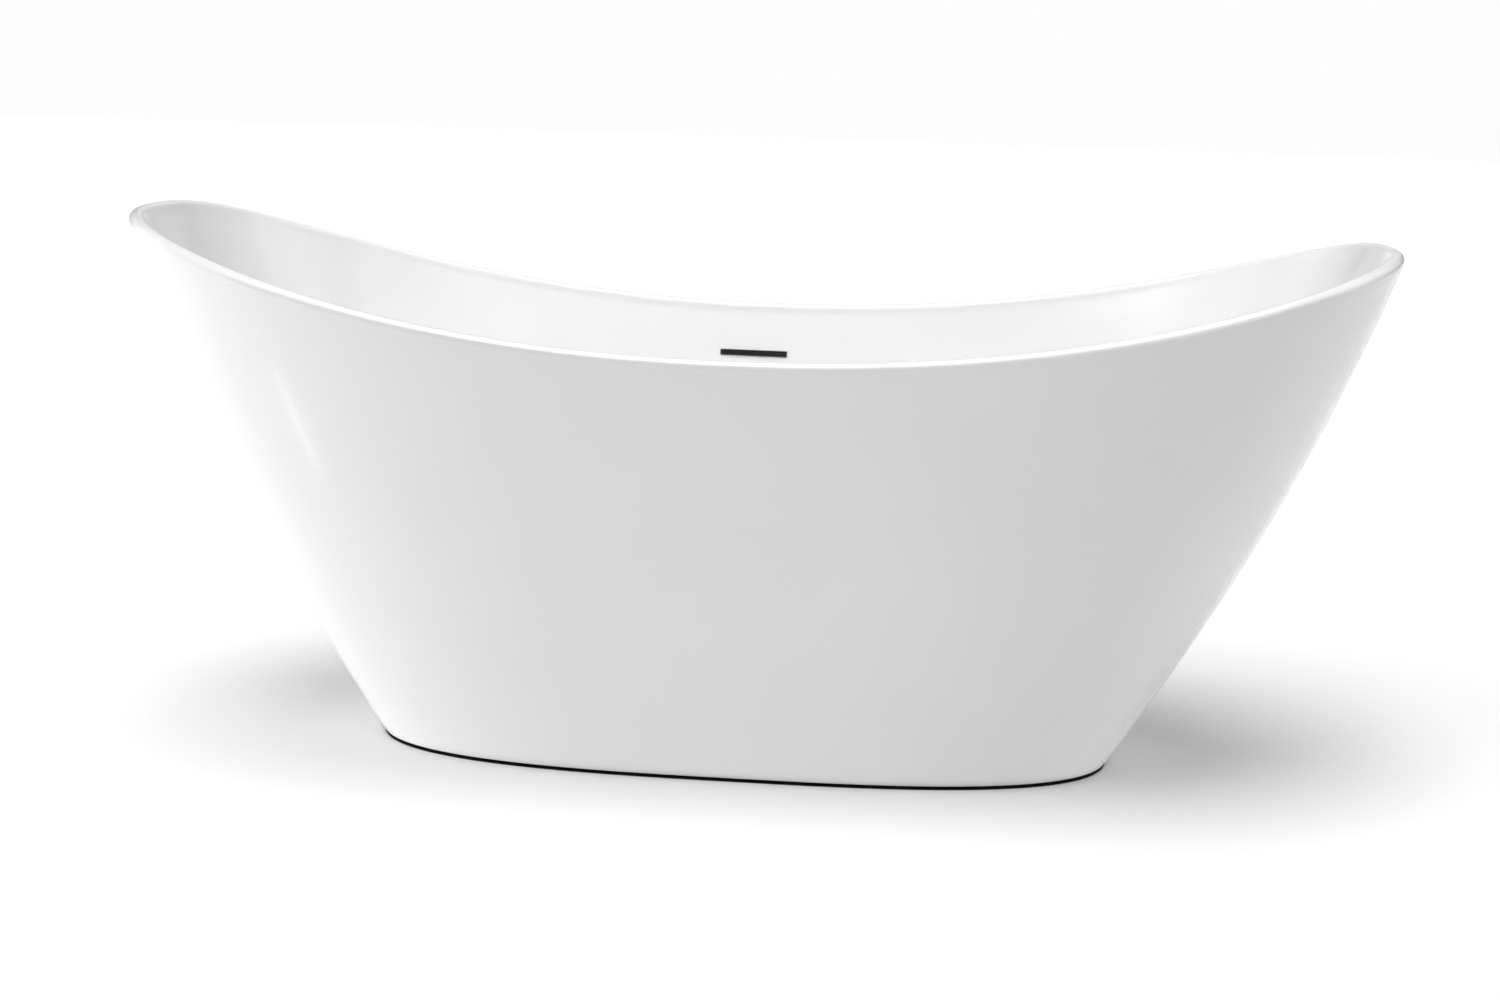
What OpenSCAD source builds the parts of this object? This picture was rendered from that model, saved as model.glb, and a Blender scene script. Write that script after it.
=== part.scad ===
// Freestanding double slipper bathtub: an acrylic basin and skirt on a steel frame with levelling feet,
// a push waste in the basin's floor and a slotted overflow in its far wall.
// X runs along the tub, Y points to the overflow wall, Z is up, and the origin is on the floor.

/* [Overall size] */
// Length over the two raised ends
tub_length = 1700; // [1650:10:1750]
// Width over the rim
tub_width = 780; // [760:5:800]
// Height of the rim at the two ends
end_height = 720; // [700:5:740]
// Height of the rim in the middle
mid_height = 576; // [566:1:586]
// Length of the skirt's foot
base_length = 1016; // [1000:4:1040]
// Width of the skirt's foot
base_width = 470; // [460:5:490]
// Gap between the floor and the skirt's foot
floor_gap = 5; // [4:1:6]

/* [Outline] */
// Squareness of the rim's outline, where 2 is an ellipse
rim_squareness = 2.9; // [2.7:0.1:3.1]
// Squareness of the foot's outline, where 2 is an ellipse
base_squareness = 2.9; // [2.8:0.1:3.2]
// How late the rim rises towards its ends
rim_rise = 2.15; // [2:0.05:2.4]
// Outward bulge of the skirt at its ends
end_bulge = 0.32; // [0.28:0.01:0.36]
// Outward bulge of the skirt along its sides
side_bulge = 0.23; // [0.2:0.01:0.26]

/* [Well] */
// Height of the well's floor
well_floor = 150; // [148:1:152]
// Length of the well where its walls meet the floor
well_length = 1090; // [1070:10:1100]
// Width of the well where its walls meet the floor
well_width = 410; // [400:5:415]
// Squareness of the well's foot
well_squareness = 2.8; // [2.6:0.1:3]
// Reach of the curve between the well's floor and walls
well_fillet = 60; // [50:5:70]
// Outward bulge of the well's end walls
well_end_bulge = 0.12; // [0:0.02:0.16]
// Outward bulge of the well's long walls, where a negative value draws them in
well_side_bulge = -0.2; // [-0.24:0.02:-0.16]
// Thickness of the basin
basin_wall = 6; // [5:0.5:6]
// Thickness of the skirt
skirt_wall = 5; // [4:0.5:5]
// Width of the rounded lip
lip_width = 20; // [18:1:22]
// Depth of the lip
lip_depth = 18; // [16:1:20]

/* [Frame and feet] */
// Side of the square frame tubes
tube_side = 30; // [28:1:30]
// Wall of the frame tubes
tube_wall = 2; // [1.5:0.5:2]
// Length of the long frame tubes
rail_length = 940; // [900:10:960]
// Distance between the centres of the long frame tubes
rail_spacing = 260; // [250:5:264]
// Distance between the feet along the tub
foot_spacing = 740; // [730:10:750]
// Radius of the threaded foot studs
stud_r = 6; // [5:0.5:6]
// Radius of the foot pads
pad_r = 22; // [20:1:23]

/* [Waste and overflow] */
// Outer radius of the chrome ring in the floor
flange_r = 35; // [34:0.5:36]
// Outer radius of the outlet pipe
outlet_r = 20; // [19.5:0.5:20]
// Height of the outlet pipe's lower end
outlet_low = 8; // [6:1:10]
// Length of the overflow slot's trim
overflow_length = 102; // [98:1:104]
// Height of the overflow slot's trim
overflow_tall = 9; // [9:0.5:11]
// Drop from the rim to the overflow slot
overflow_drop = 74; // [72:1:78]
// Distance of the overflow from the middle of the tub
overflow_x = -32; // [-34:1:-20]

/* [Hidden] */
$fn = 64;

// Colours
acrylic = [0.95, 0.95, 0.95];
matt_black = [0.06, 0.06, 0.06];
chrome = [0.78, 0.79, 0.8];
zinc = [0.66, 0.67, 0.69];
frame_grey = [0.3, 0.31, 0.33];
rubber = [0.12, 0.12, 0.12];
board_brown = [0.66, 0.5, 0.33];
pipe_grey = [0.55, 0.56, 0.58];

// How finely the two shells are divided
turn_steps = 92;
wall_steps = 8;
skirt_steps = 11;
fillet_steps = 5;
lip_steps = 8;

// Clearances
seam = 0.3;
running = 0.05;
thread_fit = 0.1;
pipe_fit = 0.3;
overlap = 1;

lip_r = lip_width / 2;
skirt_flange_width = 30;
skirt_flange_high = floor_gap + skirt_wall;

// Levels of the under-structure, from the basin's underside down
basin_under = well_floor - basin_wall;
board_thick = 18;
board_low = basin_under - board_thick;
rail_low = board_low - tube_side;
bush_low = rail_low - 10;
lock_nut_low = bush_low - 8;

// Levelling feet, from the floor up
pad_thick = 4;
pad_cone_high = 5.8;
pad_top_r = 14;
stud_tip_r = 5;
stud_hex_low = 10;
stud_hex_high = 17;
stud_hex_r = 10;
stud_in_rail = 16;
lock_nut_r = 10.5;
bush_r = 11;

// Places on the frame
rail_y = rail_spacing / 2;
rail_face_y = rail_y + tube_side / 2;
cross_xs = [-420, -150, 150, 420];
cross_length = rail_spacing - tube_side;
board_length = 900;
board_width = 290;
board_corner = 40;
board_hole_r = 48;
screw_r = 2.5;
screw_head_r = 5;
screw_depth = 12;
frame_screw_y = 80;
frame_screw_head = 3.5;
bracket_x = 230;
bracket_width = 40;
bracket_thick = 3;
bracket_top_gap = 4;
bracket_reach = base_width / 2 - 21;
bracket_screw_shift = 10;
bracket_screw_head = 3;
feet = [for (side_x = [-1, 1], side_y = [-1, 1]) [side_x * foot_spacing / 2, side_y * rail_y]];
bracket_sides = [for (side_x = [-1, 1], side_y = [-1, 1]) [side_x, side_y]];

// Levels and radii of the waste
recess_depth = 2;
recess_low = well_floor - recess_depth;
recess_r = flange_r + 3;
gasket_thick = 1.5;
flange_low = recess_low + gasket_thick;
flange_high = flange_low + 3;
flange_tube_r = 23;
flange_bore_r = 19.5;
flange_tube_low = flange_high - 56;
flange_bevel = 2;
waste_hole_r = flange_tube_r + 1;
gasket_bore_r = flange_tube_r + 0.5;
spider_low = 112;
spider_thick = 4;
spider_arm = 4;
cartridge_r = 8;
cartridge_collar_r = 12;
cartridge_collar = 3;
cartridge_neck = 8;
cartridge_low = 96;
cartridge_high = 134;
cavity_r = 6.5;
spring_low = cartridge_low + 2;
stem_r = 4;
stem_high = flange_high - 2;
shoulder_low = 110;
shoulder_thick = 3;
lower_gasket_thick = 3;
body_high = basin_under - lower_gasket_thick;
body_low = 44;
body_collar_r = 34;
body_collar = 8;
body_r = 30;
spigot_r = 25;
slip_nut_high = 56;
slip_nut_low = 40;
slip_nut_lip = 2;
slip_nut_hex_r = 32;
slip_nut_hex = 10;
slip_nut_r = 29;
pipe_shoulder = slip_nut_low - 2;
pipe_wall = 1.8;
pipe_neck_r = outlet_r - 0.3;
pipe_high = slip_nut_high + 5;
spigot_socket = slip_nut_high + 6;
inlet_height = 76;
inlet_reach = 66;
inlet_root = 38;
spigot_wall = 2;
hose_bore_r = 8.8;
hose_r = 10.5;
hose_spigot_r = 8.3;
hose_inlet_end = inlet_reach - 24;

// Where the overflow lies on the far wall of the well
overflow_height = mid_height - overflow_drop;
overflow_y = well_side_y(overflow_height);
overflow_tilt = atan((well_side_y(overflow_height + 1) - well_side_y(overflow_height - 1)) / 2);
wall_across = basin_wall * cos(overflow_tilt);
slot_length = overflow_length - 4;
slot_high = overflow_tall / 2 - 1;
box_front = wall_across + 2.4;
box_deep = 19;
box_wall = 2;
box_length = overflow_length + 12;
box_low = -22;
box_high = 10;
box_spigot_y = box_front + 10.5;
box_spigot_low = -38;
overflow_gasket_high = 9;

// The overflow hose's route: down between the two shells, under the back rail and in to the waste
hose_route = [
  on_wall([0, box_spigot_y, box_low - 2]),
  on_wall([0, box_spigot_y, box_spigot_low - 2]),
  on_wall([0, box_spigot_y, box_spigot_low - 16]),
  [-29, 325, 400],
  [-27, 307, 340],
  [-23, 286, 280],
  [-18, 266, 220],
  [-12, 247, 165],
  [-7, 222, 118],
  [-3, 184, 87],
  [-1, 140, 77],
  [0, 100, inlet_height],
  [0, inlet_reach, inlet_height],
  [0, hose_inlet_end, inlet_height]
];
hose_sides = 12;
hose_substeps = 3;
clamp_width = 9;
clamp_thick = 1.2;
clamp_inset = 6;

// ---------------------------------------------------------------- shape functions

function mix(low, high, share) = low + (high - low) * share;
function signed_power(value, power) = sign(value) * pow(abs(value), power);
function oval(half_x, half_y, squareness, turn) = [
  half_x * signed_power(cos(turn), 2 / squareness),
  half_y * signed_power(sin(turn), 2 / squareness)
];
function at_height(plan, height) = [plan.x, plan.y, height];
function swell(share, bulge) = share * (1 + bulge * (1 - share));
function turn_bulge(at_end, at_side, turn) = at_end * pow(cos(turn), 2) + at_side * pow(sin(turn), 2);

// Height of the rim's crest around the tub
function rim_height(turn) =
  mid_height + (end_height - mid_height) * pow(abs(cos(turn)), 2 / rim_squareness * rim_rise);

// A point of the skirt, or of a surface that lies the given distance inside it
function skirt_point(turn, height, inset) =
  let (
    foot = oval(base_length / 2 - inset, base_width / 2 - inset, base_squareness, turn),
    top = oval(tub_length / 2 - inset, tub_width / 2 - inset, rim_squareness, turn),
    share = (height - floor_gap) / (rim_height(turn) - lip_r - floor_gap)
  )
  at_height(mix(foot, top, swell(share, turn_bulge(end_bulge, side_bulge, turn))), height);

// A point of the well's wall, or of a surface that lies the given distance outside it
function well_point(turn, height, outset) =
  let (
    foot = oval(well_length / 2 + outset, well_width / 2 + outset, well_squareness, turn),
    top = oval(tub_length / 2 - lip_width + outset, tub_width / 2 - lip_width + outset, rim_squareness, turn),
    share = (height - well_floor) / (rim_height(turn) - lip_r - well_floor)
  )
  at_height(mix(foot, top, swell(share, turn_bulge(well_end_bulge, well_side_bulge, turn))), height);
function well_side_y(height) = well_point(90, height, 0).y;

// The curve from the well's floor into its wall, as a quadratic arc
function fillet_point(turn, share, outset) =
  let (
    low = well_floor - outset,
    flat_half = [well_length / 2 - well_fillet, well_width / 2 - well_fillet],
    corner_half = [well_length / 2 + outset, well_width / 2 + outset],
    from = at_height(oval(flat_half.x, flat_half.y, well_squareness, turn), low),
    corner = at_height(oval(corner_half.x, corner_half.y, well_squareness, turn), low),
    to = well_point(turn, well_floor + well_fillet, outset)
  )
  mix(mix(from, corner, share), mix(corner, to, share), share);

// The lip's rounded crest, from its outer side at 0 to its inner side at 180
function crest_point(turn, angle) =
  let (inset = lip_r - lip_r * cos(angle))
  at_height(
    oval(tub_length / 2 - inset, tub_width / 2 - inset, rim_squareness, turn),
    rim_height(turn) - lip_r + lip_r * sin(angle)
  );

// One section of the basin, from its underside out, up, over the lip and down to the well's floor
function basin_profile(turn) =
  let (
    lip_low = rim_height(turn) - lip_depth,
    wall_low = well_floor + well_fillet
  )
  concat(
    [for (i = [0:fillet_steps]) fillet_point(turn, i / fillet_steps, basin_wall)],
    [for (i = [1:wall_steps]) well_point(turn, mix(wall_low, lip_low, i / wall_steps), basin_wall)],
    [skirt_point(turn, lip_low, 0)],
    [for (i = [0:lip_steps]) crest_point(turn, 180 * i / lip_steps)],
    [for (i = [1:wall_steps]) well_point(turn, mix(rim_height(turn) - lip_r, wall_low, i / wall_steps), 0)],
    [for (i = [1:fillet_steps]) fillet_point(turn, 1 - i / fillet_steps, 0)]
  );

// One closed section of the skirt, up its outside and down its inside to the inturned flange
function skirt_profile(turn) =
  let (top = rim_height(turn) - lip_depth - seam)
  concat(
    [for (i = [0:skirt_steps]) skirt_point(turn, mix(floor_gap, top, i / skirt_steps), 0)],
    [for (i = [0:skirt_steps]) skirt_point(turn, mix(top, skirt_flange_high, i / skirt_steps), skirt_wall)],
    [skirt_point(turn, skirt_flange_high, skirt_wall + skirt_flange_width)],
    [skirt_point(turn, floor_gap, skirt_wall + skirt_flange_width)]
  );

// A point in the overflow's own frame: y runs out through the wall, z runs up along it
function on_wall(point) = [
  overflow_x + point.x,
  overflow_y + point.y * cos(overflow_tilt) + point.z * sin(overflow_tilt),
  overflow_height - point.y * sin(overflow_tilt) + point.z * cos(overflow_tilt)
];

// A smooth curve through a list of points
function curve_point(points, i, share) =
  let (
    last = len(points) - 1,
    before = points[max(i - 1, 0)],
    here = points[i],
    next = points[min(i + 1, last)],
    after = points[min(i + 2, last)]
  )
  0.5 * (2 * here + (next - before) * share
    + (2 * before - 5 * here + 4 * next - after) * pow(share, 2)
    + (3 * here - before - 3 * next + after) * pow(share, 3));
function curve(points, substeps) = concat(
  [for (i = [0:len(points) - 2], k = [0:substeps - 1]) curve_point(points, i, k / substeps)],
  [points[len(points) - 1]]
);
function unit(v) = v / norm(v);
function tangent(path, i) = unit(path[min(i + 1, len(path) - 1)] - path[max(i - 1, 0)]);

// A point at an angle round the path, at the given radius
function round_path(path, i, angle, radius) =
  let (
    along = tangent(path, i),
    up = unit(cross(along, [1, 0, 0])),
    side = cross(up, along)
  )
  path[i] + radius * (cos(angle) * side + sin(angle) * up);

// ---------------------------------------------------------------- shared solids

// A solid skinned over sections that stand round an axis. Closed sections make a ring, and open ones
// get a flat face over their first points and one over their last points.
module skinned(sections, closed_section) {
  count = len(sections);
  size = len(sections[0]);
  steps = closed_section ? size : size - 1;
  sides = [
    for (i = [0:count - 1], j = [0:steps - 1])
      let (
        a = i * size + j,
        b = ((i + 1) % count) * size + j,
        c = ((i + 1) % count) * size + (j + 1) % size,
        d = i * size + (j + 1) % size
      )
      each [[a, d, c], [a, c, b]]
  ];
  caps = closed_section ? [] : [
    [for (i = [0:count - 1]) i * size],
    [for (i = [count - 1:-1:0]) i * size + size - 1]
  ];
  polyhedron(points = [for (section = sections) each section], faces = concat(sides, caps));
}

module ring(outer_r, inner_r, low, high) {
  translate([0, 0, low])
    difference() {
      cylinder(r = outer_r, h = high - low);
      translate([0, 0, -overlap]) cylinder(r = inner_r, h = high - low + 2 * overlap);
    }
}

module rod(radius, low, high) {
  translate([0, 0, low]) cylinder(r = radius, h = high - low);
}

module hex_ring(across_corners_r, inner_r, low, high) {
  difference() {
    translate([0, 0, low]) cylinder(r = across_corners_r, h = high - low, $fn = 6);
    rod(inner_r, low - overlap, high + overlap);
  }
}

// A plate lying flat, with its low face at the given height and round corners
module round_plate(length, width, corner, low, high) {
  translate([-length / 2 + corner, -width / 2, low]) cube([length - 2 * corner, width, high - low]);
  translate([-length / 2, -width / 2 + corner, low]) cube([length, width - 2 * corner, high - low]);
  for (side_x = [-1, 1], side_y = [-1, 1])
    translate([side_x * (length / 2 - corner), side_y * (width / 2 - corner), 0]) rod(corner, low, high);
}

// A box centred on x and y
module centred_box(size, low) {
  translate([-size.x / 2, -size.y / 2, low]) cube(size);
}

// Puts its children in the overflow's own frame
module at_overflow() {
  translate([overflow_x, overflow_y, overflow_height]) rotate([-overflow_tilt, 0, 0]) children();
}

// A box in the overflow's own frame, from one depth and height to another
module wall_box(length, y_from, y_to, z_from, z_to) {
  translate([-length / 2, y_from, z_from]) cube([length, y_to - y_from, z_to - z_from]);
}

// ---------------------------------------------------------------- shells

module basin() {
  color(acrylic)
    difference() {
      skinned([for (i = [0:turn_steps - 1]) basin_profile(360 * i / turn_steps)], false);
      rod(recess_r, recess_low, well_floor + overlap);
      rod(waste_hole_r, basin_under - overlap, well_floor + overlap);
      at_overflow() wall_box(slot_length, -box_front, 2 * box_front, -slot_high, slot_high);
    }
}

module skirt() {
  color(acrylic) skinned([for (i = [0:turn_steps - 1]) skirt_profile(360 * i / turn_steps)], true);
}

// ---------------------------------------------------------------- frame

module base_board() {
  color(board_brown)
    difference() {
      round_plate(board_length, board_width, board_corner, board_low, basin_under);
      rod(board_hole_r, board_low - overlap, basin_under + overlap);
      frame_screw_places() rod(screw_r + running, board_low - overlap, board_low + screw_depth + overlap);
    }
}

module frame_screw_places() {
  for (x = cross_xs, side_y = [-1, 1])
    translate([x, side_y * frame_screw_y, 0]) children();
}

module square_tube(length) {
  difference() {
    translate([-length / 2, -tube_side / 2, 0]) cube([length, tube_side, tube_side]);
    translate([-length / 2 - overlap, -tube_side / 2 + tube_wall, tube_wall])
      cube([length + 2 * overlap, tube_side - 2 * tube_wall, tube_side - 2 * tube_wall]);
  }
}

// A long frame tube, with a hole over each foot and two bracket holes in its outer wall
module side_rail(side_y) {
  color(frame_grey)
    difference() {
      translate([0, side_y * rail_y, rail_low]) square_tube(rail_length);
      for (side_x = [-1, 1])
        translate([side_x * foot_spacing / 2, side_y * rail_y, 0])
          rod(stud_r + 1, rail_low - overlap, rail_low + tube_wall + overlap);
      bracket_screw_places(side_y) cylinder(r = screw_r + running, h = screw_depth + overlap);
    }
}

module cross_rail(i) {
  color(frame_grey)
    difference() {
      translate([cross_xs[i], 0, rail_low]) rotate([0, 0, 90]) square_tube(cross_length);
      for (side_y = [-1, 1])
        translate([cross_xs[i], side_y * frame_screw_y, 0])
          rod(screw_r + thread_fit, rail_low - overlap, board_low + overlap);
    }
}

module frame_screws() {
  color(zinc)
    frame_screw_places() {
      rod(screw_r, rail_low, board_low + screw_depth);
      rod(screw_head_r, rail_low - frame_screw_head, rail_low);
    }
}

// Stands its children on a bracket's screw axis, at the depth of the screw's tip, pointing outwards
module bracket_screw_places(side_y) {
  for (side_x = [-1, 1], shift = [-bracket_screw_shift, bracket_screw_shift])
    translate([side_x * bracket_x + shift, side_y * (rail_face_y - screw_depth), rail_low + tube_side / 2])
      rotate([-side_y * 90, 0, 0]) children();
}

// An angle bracket from the frame's side down to the skirt's flange
module skirt_bracket(i) {
  side_x = bracket_sides[i].x;
  side_y = bracket_sides[i].y;
  leg = board_low - skirt_flange_high - bracket_top_gap;
  color(zinc)
    difference() {
      union() {
        translate([side_x * bracket_x, side_y * (rail_face_y + bracket_thick / 2), 0])
          centred_box([bracket_width, bracket_thick, leg], skirt_flange_high);
        translate([side_x * bracket_x, side_y * (rail_face_y + bracket_reach) / 2, 0])
          centred_box([bracket_width, bracket_reach - rail_face_y, bracket_thick], skirt_flange_high);
      }
      bracket_screw_places(side_y) cylinder(r = screw_r + running, h = screw_depth + bracket_thick + overlap);
    }
}

module bracket_screws() {
  color(zinc)
    for (side_y = [-1, 1])
      bracket_screw_places(side_y) {
        cylinder(r = screw_r, h = screw_depth + bracket_thick);
        translate([0, 0, screw_depth + bracket_thick]) cylinder(r = screw_head_r, h = bracket_screw_head);
      }
}

// ---------------------------------------------------------------- levelling feet

module at_feet() {
  for (foot = feet) translate([foot.x, foot.y, 0]) children();
}

module foot_bushes() {
  color(zinc) at_feet() ring(bush_r, stud_r + running, bush_low, rail_low);
}

module foot_lock_nuts() {
  color(zinc) at_feet() hex_ring(lock_nut_r, stud_r + running, lock_nut_low, bush_low);
}

module foot_stud(i) {
  color(zinc)
    translate([feet[i].x, feet[i].y, 0]) {
      rod(stud_tip_r, pad_thick, stud_hex_low);
      translate([0, 0, stud_hex_low]) cylinder(r = stud_hex_r, h = stud_hex_high - stud_hex_low, $fn = 6);
      rod(stud_r, stud_hex_high, rail_low + stud_in_rail);
    }
}

module foot_pad(i) {
  color(rubber)
    translate([feet[i].x, feet[i].y, 0])
      difference() {
        union() {
          rod(pad_r, 0, pad_thick);
          translate([0, 0, pad_thick]) cylinder(r1 = pad_r - 1, r2 = pad_top_r, h = pad_cone_high);
        }
        rod(stud_tip_r + running, pad_thick, pad_thick + pad_cone_high + overlap);
      }
}

// ---------------------------------------------------------------- waste

// The chrome ring in the floor, with the threaded tube below it and the three arms that hold the cartridge
module drain_flange() {
  bevel_low = flange_high - flange_bevel;
  color(chrome) {
    difference() {
      union() {
        ring(flange_r, flange_bore_r, flange_low, flange_high);
        ring(flange_tube_r, flange_bore_r, flange_tube_low, flange_low + overlap);
      }
      translate([0, 0, bevel_low])
        cylinder(r1 = flange_bore_r, r2 = flange_bore_r + 1.5 * flange_bevel, h = flange_bevel + 0.01);
    }
    difference() {
      union() {
        rod(cartridge_collar_r, spider_low, spider_low + spider_thick);
        for (turn = [0:120:240])
          rotate([0, 0, turn])
            translate([0, -spider_arm / 2, spider_low])
              cube([flange_bore_r + overlap, spider_arm, spider_thick]);
      }
      rod(cartridge_r + thread_fit, spider_low - overlap, spider_low + spider_thick + overlap);
    }
  }
}

// Puts its children on the inlet's axis, pointing out of the waste body
module at_inlet() {
  translate([0, 0, inlet_height]) rotate([-90, 0, 0]) children();
}

module drain_gasket_upper() {
  color(rubber) ring(flange_r - 1, gasket_bore_r, recess_low, flange_low);
}

module drain_gasket_lower() {
  color(rubber) ring(body_collar_r - 1, gasket_bore_r, body_high, basin_under);
}

// The plastic body that clamps the basin, with its inlet from the overflow and its outlet below
module drain_body() {
  color(pipe_grey)
    difference() {
      union() {
        rod(body_collar_r, body_high - body_collar, body_high);
        rod(body_r, slip_nut_high + 4, body_high - body_collar / 2);
        rod(spigot_r, body_low, spigot_socket);
        at_inlet() {
          cylinder(r = hose_spigot_r, h = inlet_reach);
          cylinder(r = hose_r, h = inlet_root);
        }
      }
      rod(flange_tube_r + thread_fit, flange_tube_low - 0.5, body_high + overlap);
      rod(flange_bore_r - 0.5, body_low, body_high);
      rod(outlet_r + pipe_fit, body_low - overlap, spigot_socket);
      at_inlet() cylinder(r = hose_spigot_r - spigot_wall, h = inlet_reach + overlap);
    }
}

module slip_nut() {
  color(pipe_grey)
    difference() {
      union() {
        translate([0, 0, slip_nut_low]) cylinder(r = slip_nut_hex_r, h = slip_nut_hex, $fn = 6);
        rod(slip_nut_r, slip_nut_low, slip_nut_high);
      }
      rod(outlet_r + pipe_fit, slip_nut_low - overlap, slip_nut_high);
      rod(spigot_r + thread_fit, slip_nut_low + slip_nut_lip, slip_nut_high + overlap);
    }
}

module slip_washer() {
  color(rubber) ring(spigot_r, pipe_neck_r + running, slip_nut_low + slip_nut_lip, body_low);
}

// The outlet pipe, a little slimmer where it goes up into the slip nut and the waste body
module tailpiece() {
  color(pipe_grey)
    difference() {
      union() {
        rod(outlet_r, outlet_low, pipe_shoulder);
        rod(pipe_neck_r, pipe_shoulder, pipe_high);
      }
      rod(outlet_r - pipe_wall, outlet_low - overlap, pipe_high + overlap);
    }
}

// ---------------------------------------------------------------- push stopper

// The domed cap, with the socket for the stem underneath
module stopper_cap() {
  cap_low = flange_high + gasket_thick;
  cap_r = 31;
  cap_edge = 1.5;
  dome_high = 4;
  dome_ball_r = (pow(cap_r, 2) + pow(dome_high, 2)) / (2 * dome_high);
  dome_turn = asin(cap_r / dome_ball_r);
  dome_steps = 12;
  boss_r = 7;
  boss_low = stem_high - 8;
  dome_line = [
    for (i = [0:dome_steps])
      let (turn = dome_turn * (1 - i / dome_steps))
      [dome_ball_r * sin(turn), cap_low + cap_edge + dome_high - dome_ball_r * (1 - cos(turn))]
  ];
  color(chrome)
    difference() {
      union() {
        rotate_extrude() polygon(concat([[0, cap_low], [cap_r, cap_low]], dome_line));
        rod(boss_r, boss_low, cap_low + overlap);
      }
      rod(stem_r + running, boss_low - overlap, stem_high);
    }
}

module stopper_seal() {
  seal_r = 27;
  seal_bore_r = 8;
  color(rubber) ring(seal_r, seal_bore_r, flange_high, flange_high + gasket_thick);
}

module stopper_stem() {
  color(chrome) {
    rod(stem_r, shoulder_low, stem_high);
    rod(stem_r + 2, shoulder_low, shoulder_low + shoulder_thick);
  }
}

// The body screwed into the flange's hub, which guides the stem
module stopper_cartridge() {
  hub_high = spider_low + spider_thick;
  color(zinc)
    difference() {
      union() {
        rod(cartridge_r, cartridge_low, cartridge_high);
        rod(cartridge_collar_r, hub_high, hub_high + cartridge_collar);
      }
      rod(cavity_r, spring_low, cartridge_high - cartridge_neck);
      rod(stem_r + running, cartridge_high - cartridge_neck - overlap, cartridge_high + overlap);
    }
}

// The small compression spring under the stem's shoulder
module stopper_spring() {
  spring_turns = 4;
  wire_r = 0.7;
  coil_r = 5;
  end_gap = 0.1;
  steps_per_turn = 16;
  rise = shoulder_low - spring_low - 2 * (wire_r + end_gap);
  steps = spring_turns * steps_per_turn;
  wire = [
    for (i = [0:steps])
      [coil_r * cos(360 * i / steps_per_turn), coil_r * sin(360 * i / steps_per_turn),
       spring_low + wire_r + end_gap + rise * i / steps]
  ];
  // Each wire section stands in the plane through the coil's axis
  function wire_point(i, angle) =
    let (turn = 360 * i / steps_per_turn)
    wire[i] + wire_r * [cos(angle) * cos(turn), cos(angle) * sin(turn), sin(angle)];
  sides = 8;
  color(zinc)
    skinned([for (s = [0:sides - 1]) [for (i = [0:steps]) wire_point(i, -360 * s / sides)]], false);
}

// ---------------------------------------------------------------- overflow

// The black grille: a bezel on the wall, a sleeve through it and two slats across the slot
module overflow_trim() {
  bezel = 2;
  bezel_back = -3 * seam;
  bezel_front = -2.2;
  slat = 1;
  slat_back = 3;
  sleeve_length = slot_length - overlap;
  sleeve_high = slot_high - seam;
  inner_length = overflow_length - 7;
  inner_tall = overflow_tall - 2 * bezel;
  color(matt_black)
    at_overflow() {
      difference() {
        union() {
          wall_box(overflow_length, bezel_front, bezel_back, -overflow_tall / 2, overflow_tall / 2);
          wall_box(sleeve_length, bezel_back - 0.1, box_front + overlap, -sleeve_high, sleeve_high);
        }
        wall_box(inner_length, -2 * bezel, box_front + 2 * overlap, -inner_tall / 2, inner_tall / 2);
      }
      for (level = [-1, 1])
        wall_box(
          inner_length + overlap, bezel_front + 0.2, slat_back,
          level * inner_tall / 6 - slat / 2, level * inner_tall / 6 + slat / 2
        );
    }
}

module overflow_gasket() {
  color(rubber)
    at_overflow()
      difference() {
        wall_box(box_length - 2, wall_across + seam, box_front, -overflow_gasket_high, overflow_gasket_high);
        wall_box(
          slot_length + overlap, wall_across, box_front + overlap,
          -overflow_tall / 2, overflow_tall / 2
        );
      }
}

// The flat box behind the wall, with its outlet spigot pointing down along the wall
module overflow_box() {
  box_back = box_front + box_deep;
  spigot = box_low - box_spigot_low;
  color(pipe_grey)
    at_overflow()
      difference() {
        union() {
          wall_box(box_length, box_front, box_back, box_low, box_high);
          translate([0, box_spigot_y, box_spigot_low]) cylinder(r = hose_spigot_r, h = spigot + overlap);
        }
        wall_box(
          box_length - 2 * box_wall, box_front + box_wall, box_back - box_wall,
          box_low + box_wall, box_high - box_wall
        );
        wall_box(slot_length, box_front - overlap, box_front + 2 * box_wall, -slot_high, slot_high);
        translate([0, box_spigot_y, box_spigot_low - overlap])
          cylinder(r = hose_spigot_r - spigot_wall, h = spigot + 2 * box_wall);
      }
}

module overflow_hose() {
  path = curve(hose_route, hose_substeps);
  last = len(path) - 1;
  color(rubber)
    skinned([
      for (s = [0:hose_sides - 1])
        let (angle = 360 * s / hose_sides)
        concat(
          [for (i = [0:last]) round_path(path, i, angle, hose_r)],
          [for (i = [last:-1:0]) round_path(path, i, angle, hose_bore_r)]
        )
    ], true);
}

module hose_clamps() {
  clamp_inner = hose_r + 0.2;
  upper_low = box_low - clamp_inset - clamp_width;
  lower_low = hose_inlet_end + clamp_inset;
  color(zinc) {
    at_overflow()
      translate([0, box_spigot_y, 0])
        ring(clamp_inner + clamp_thick, clamp_inner, upper_low, upper_low + clamp_width);
    at_inlet() ring(clamp_inner + clamp_thick, clamp_inner, lower_low, lower_low + clamp_width);
  }
}

// ---------------------------------------------------------------- nodes

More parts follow.
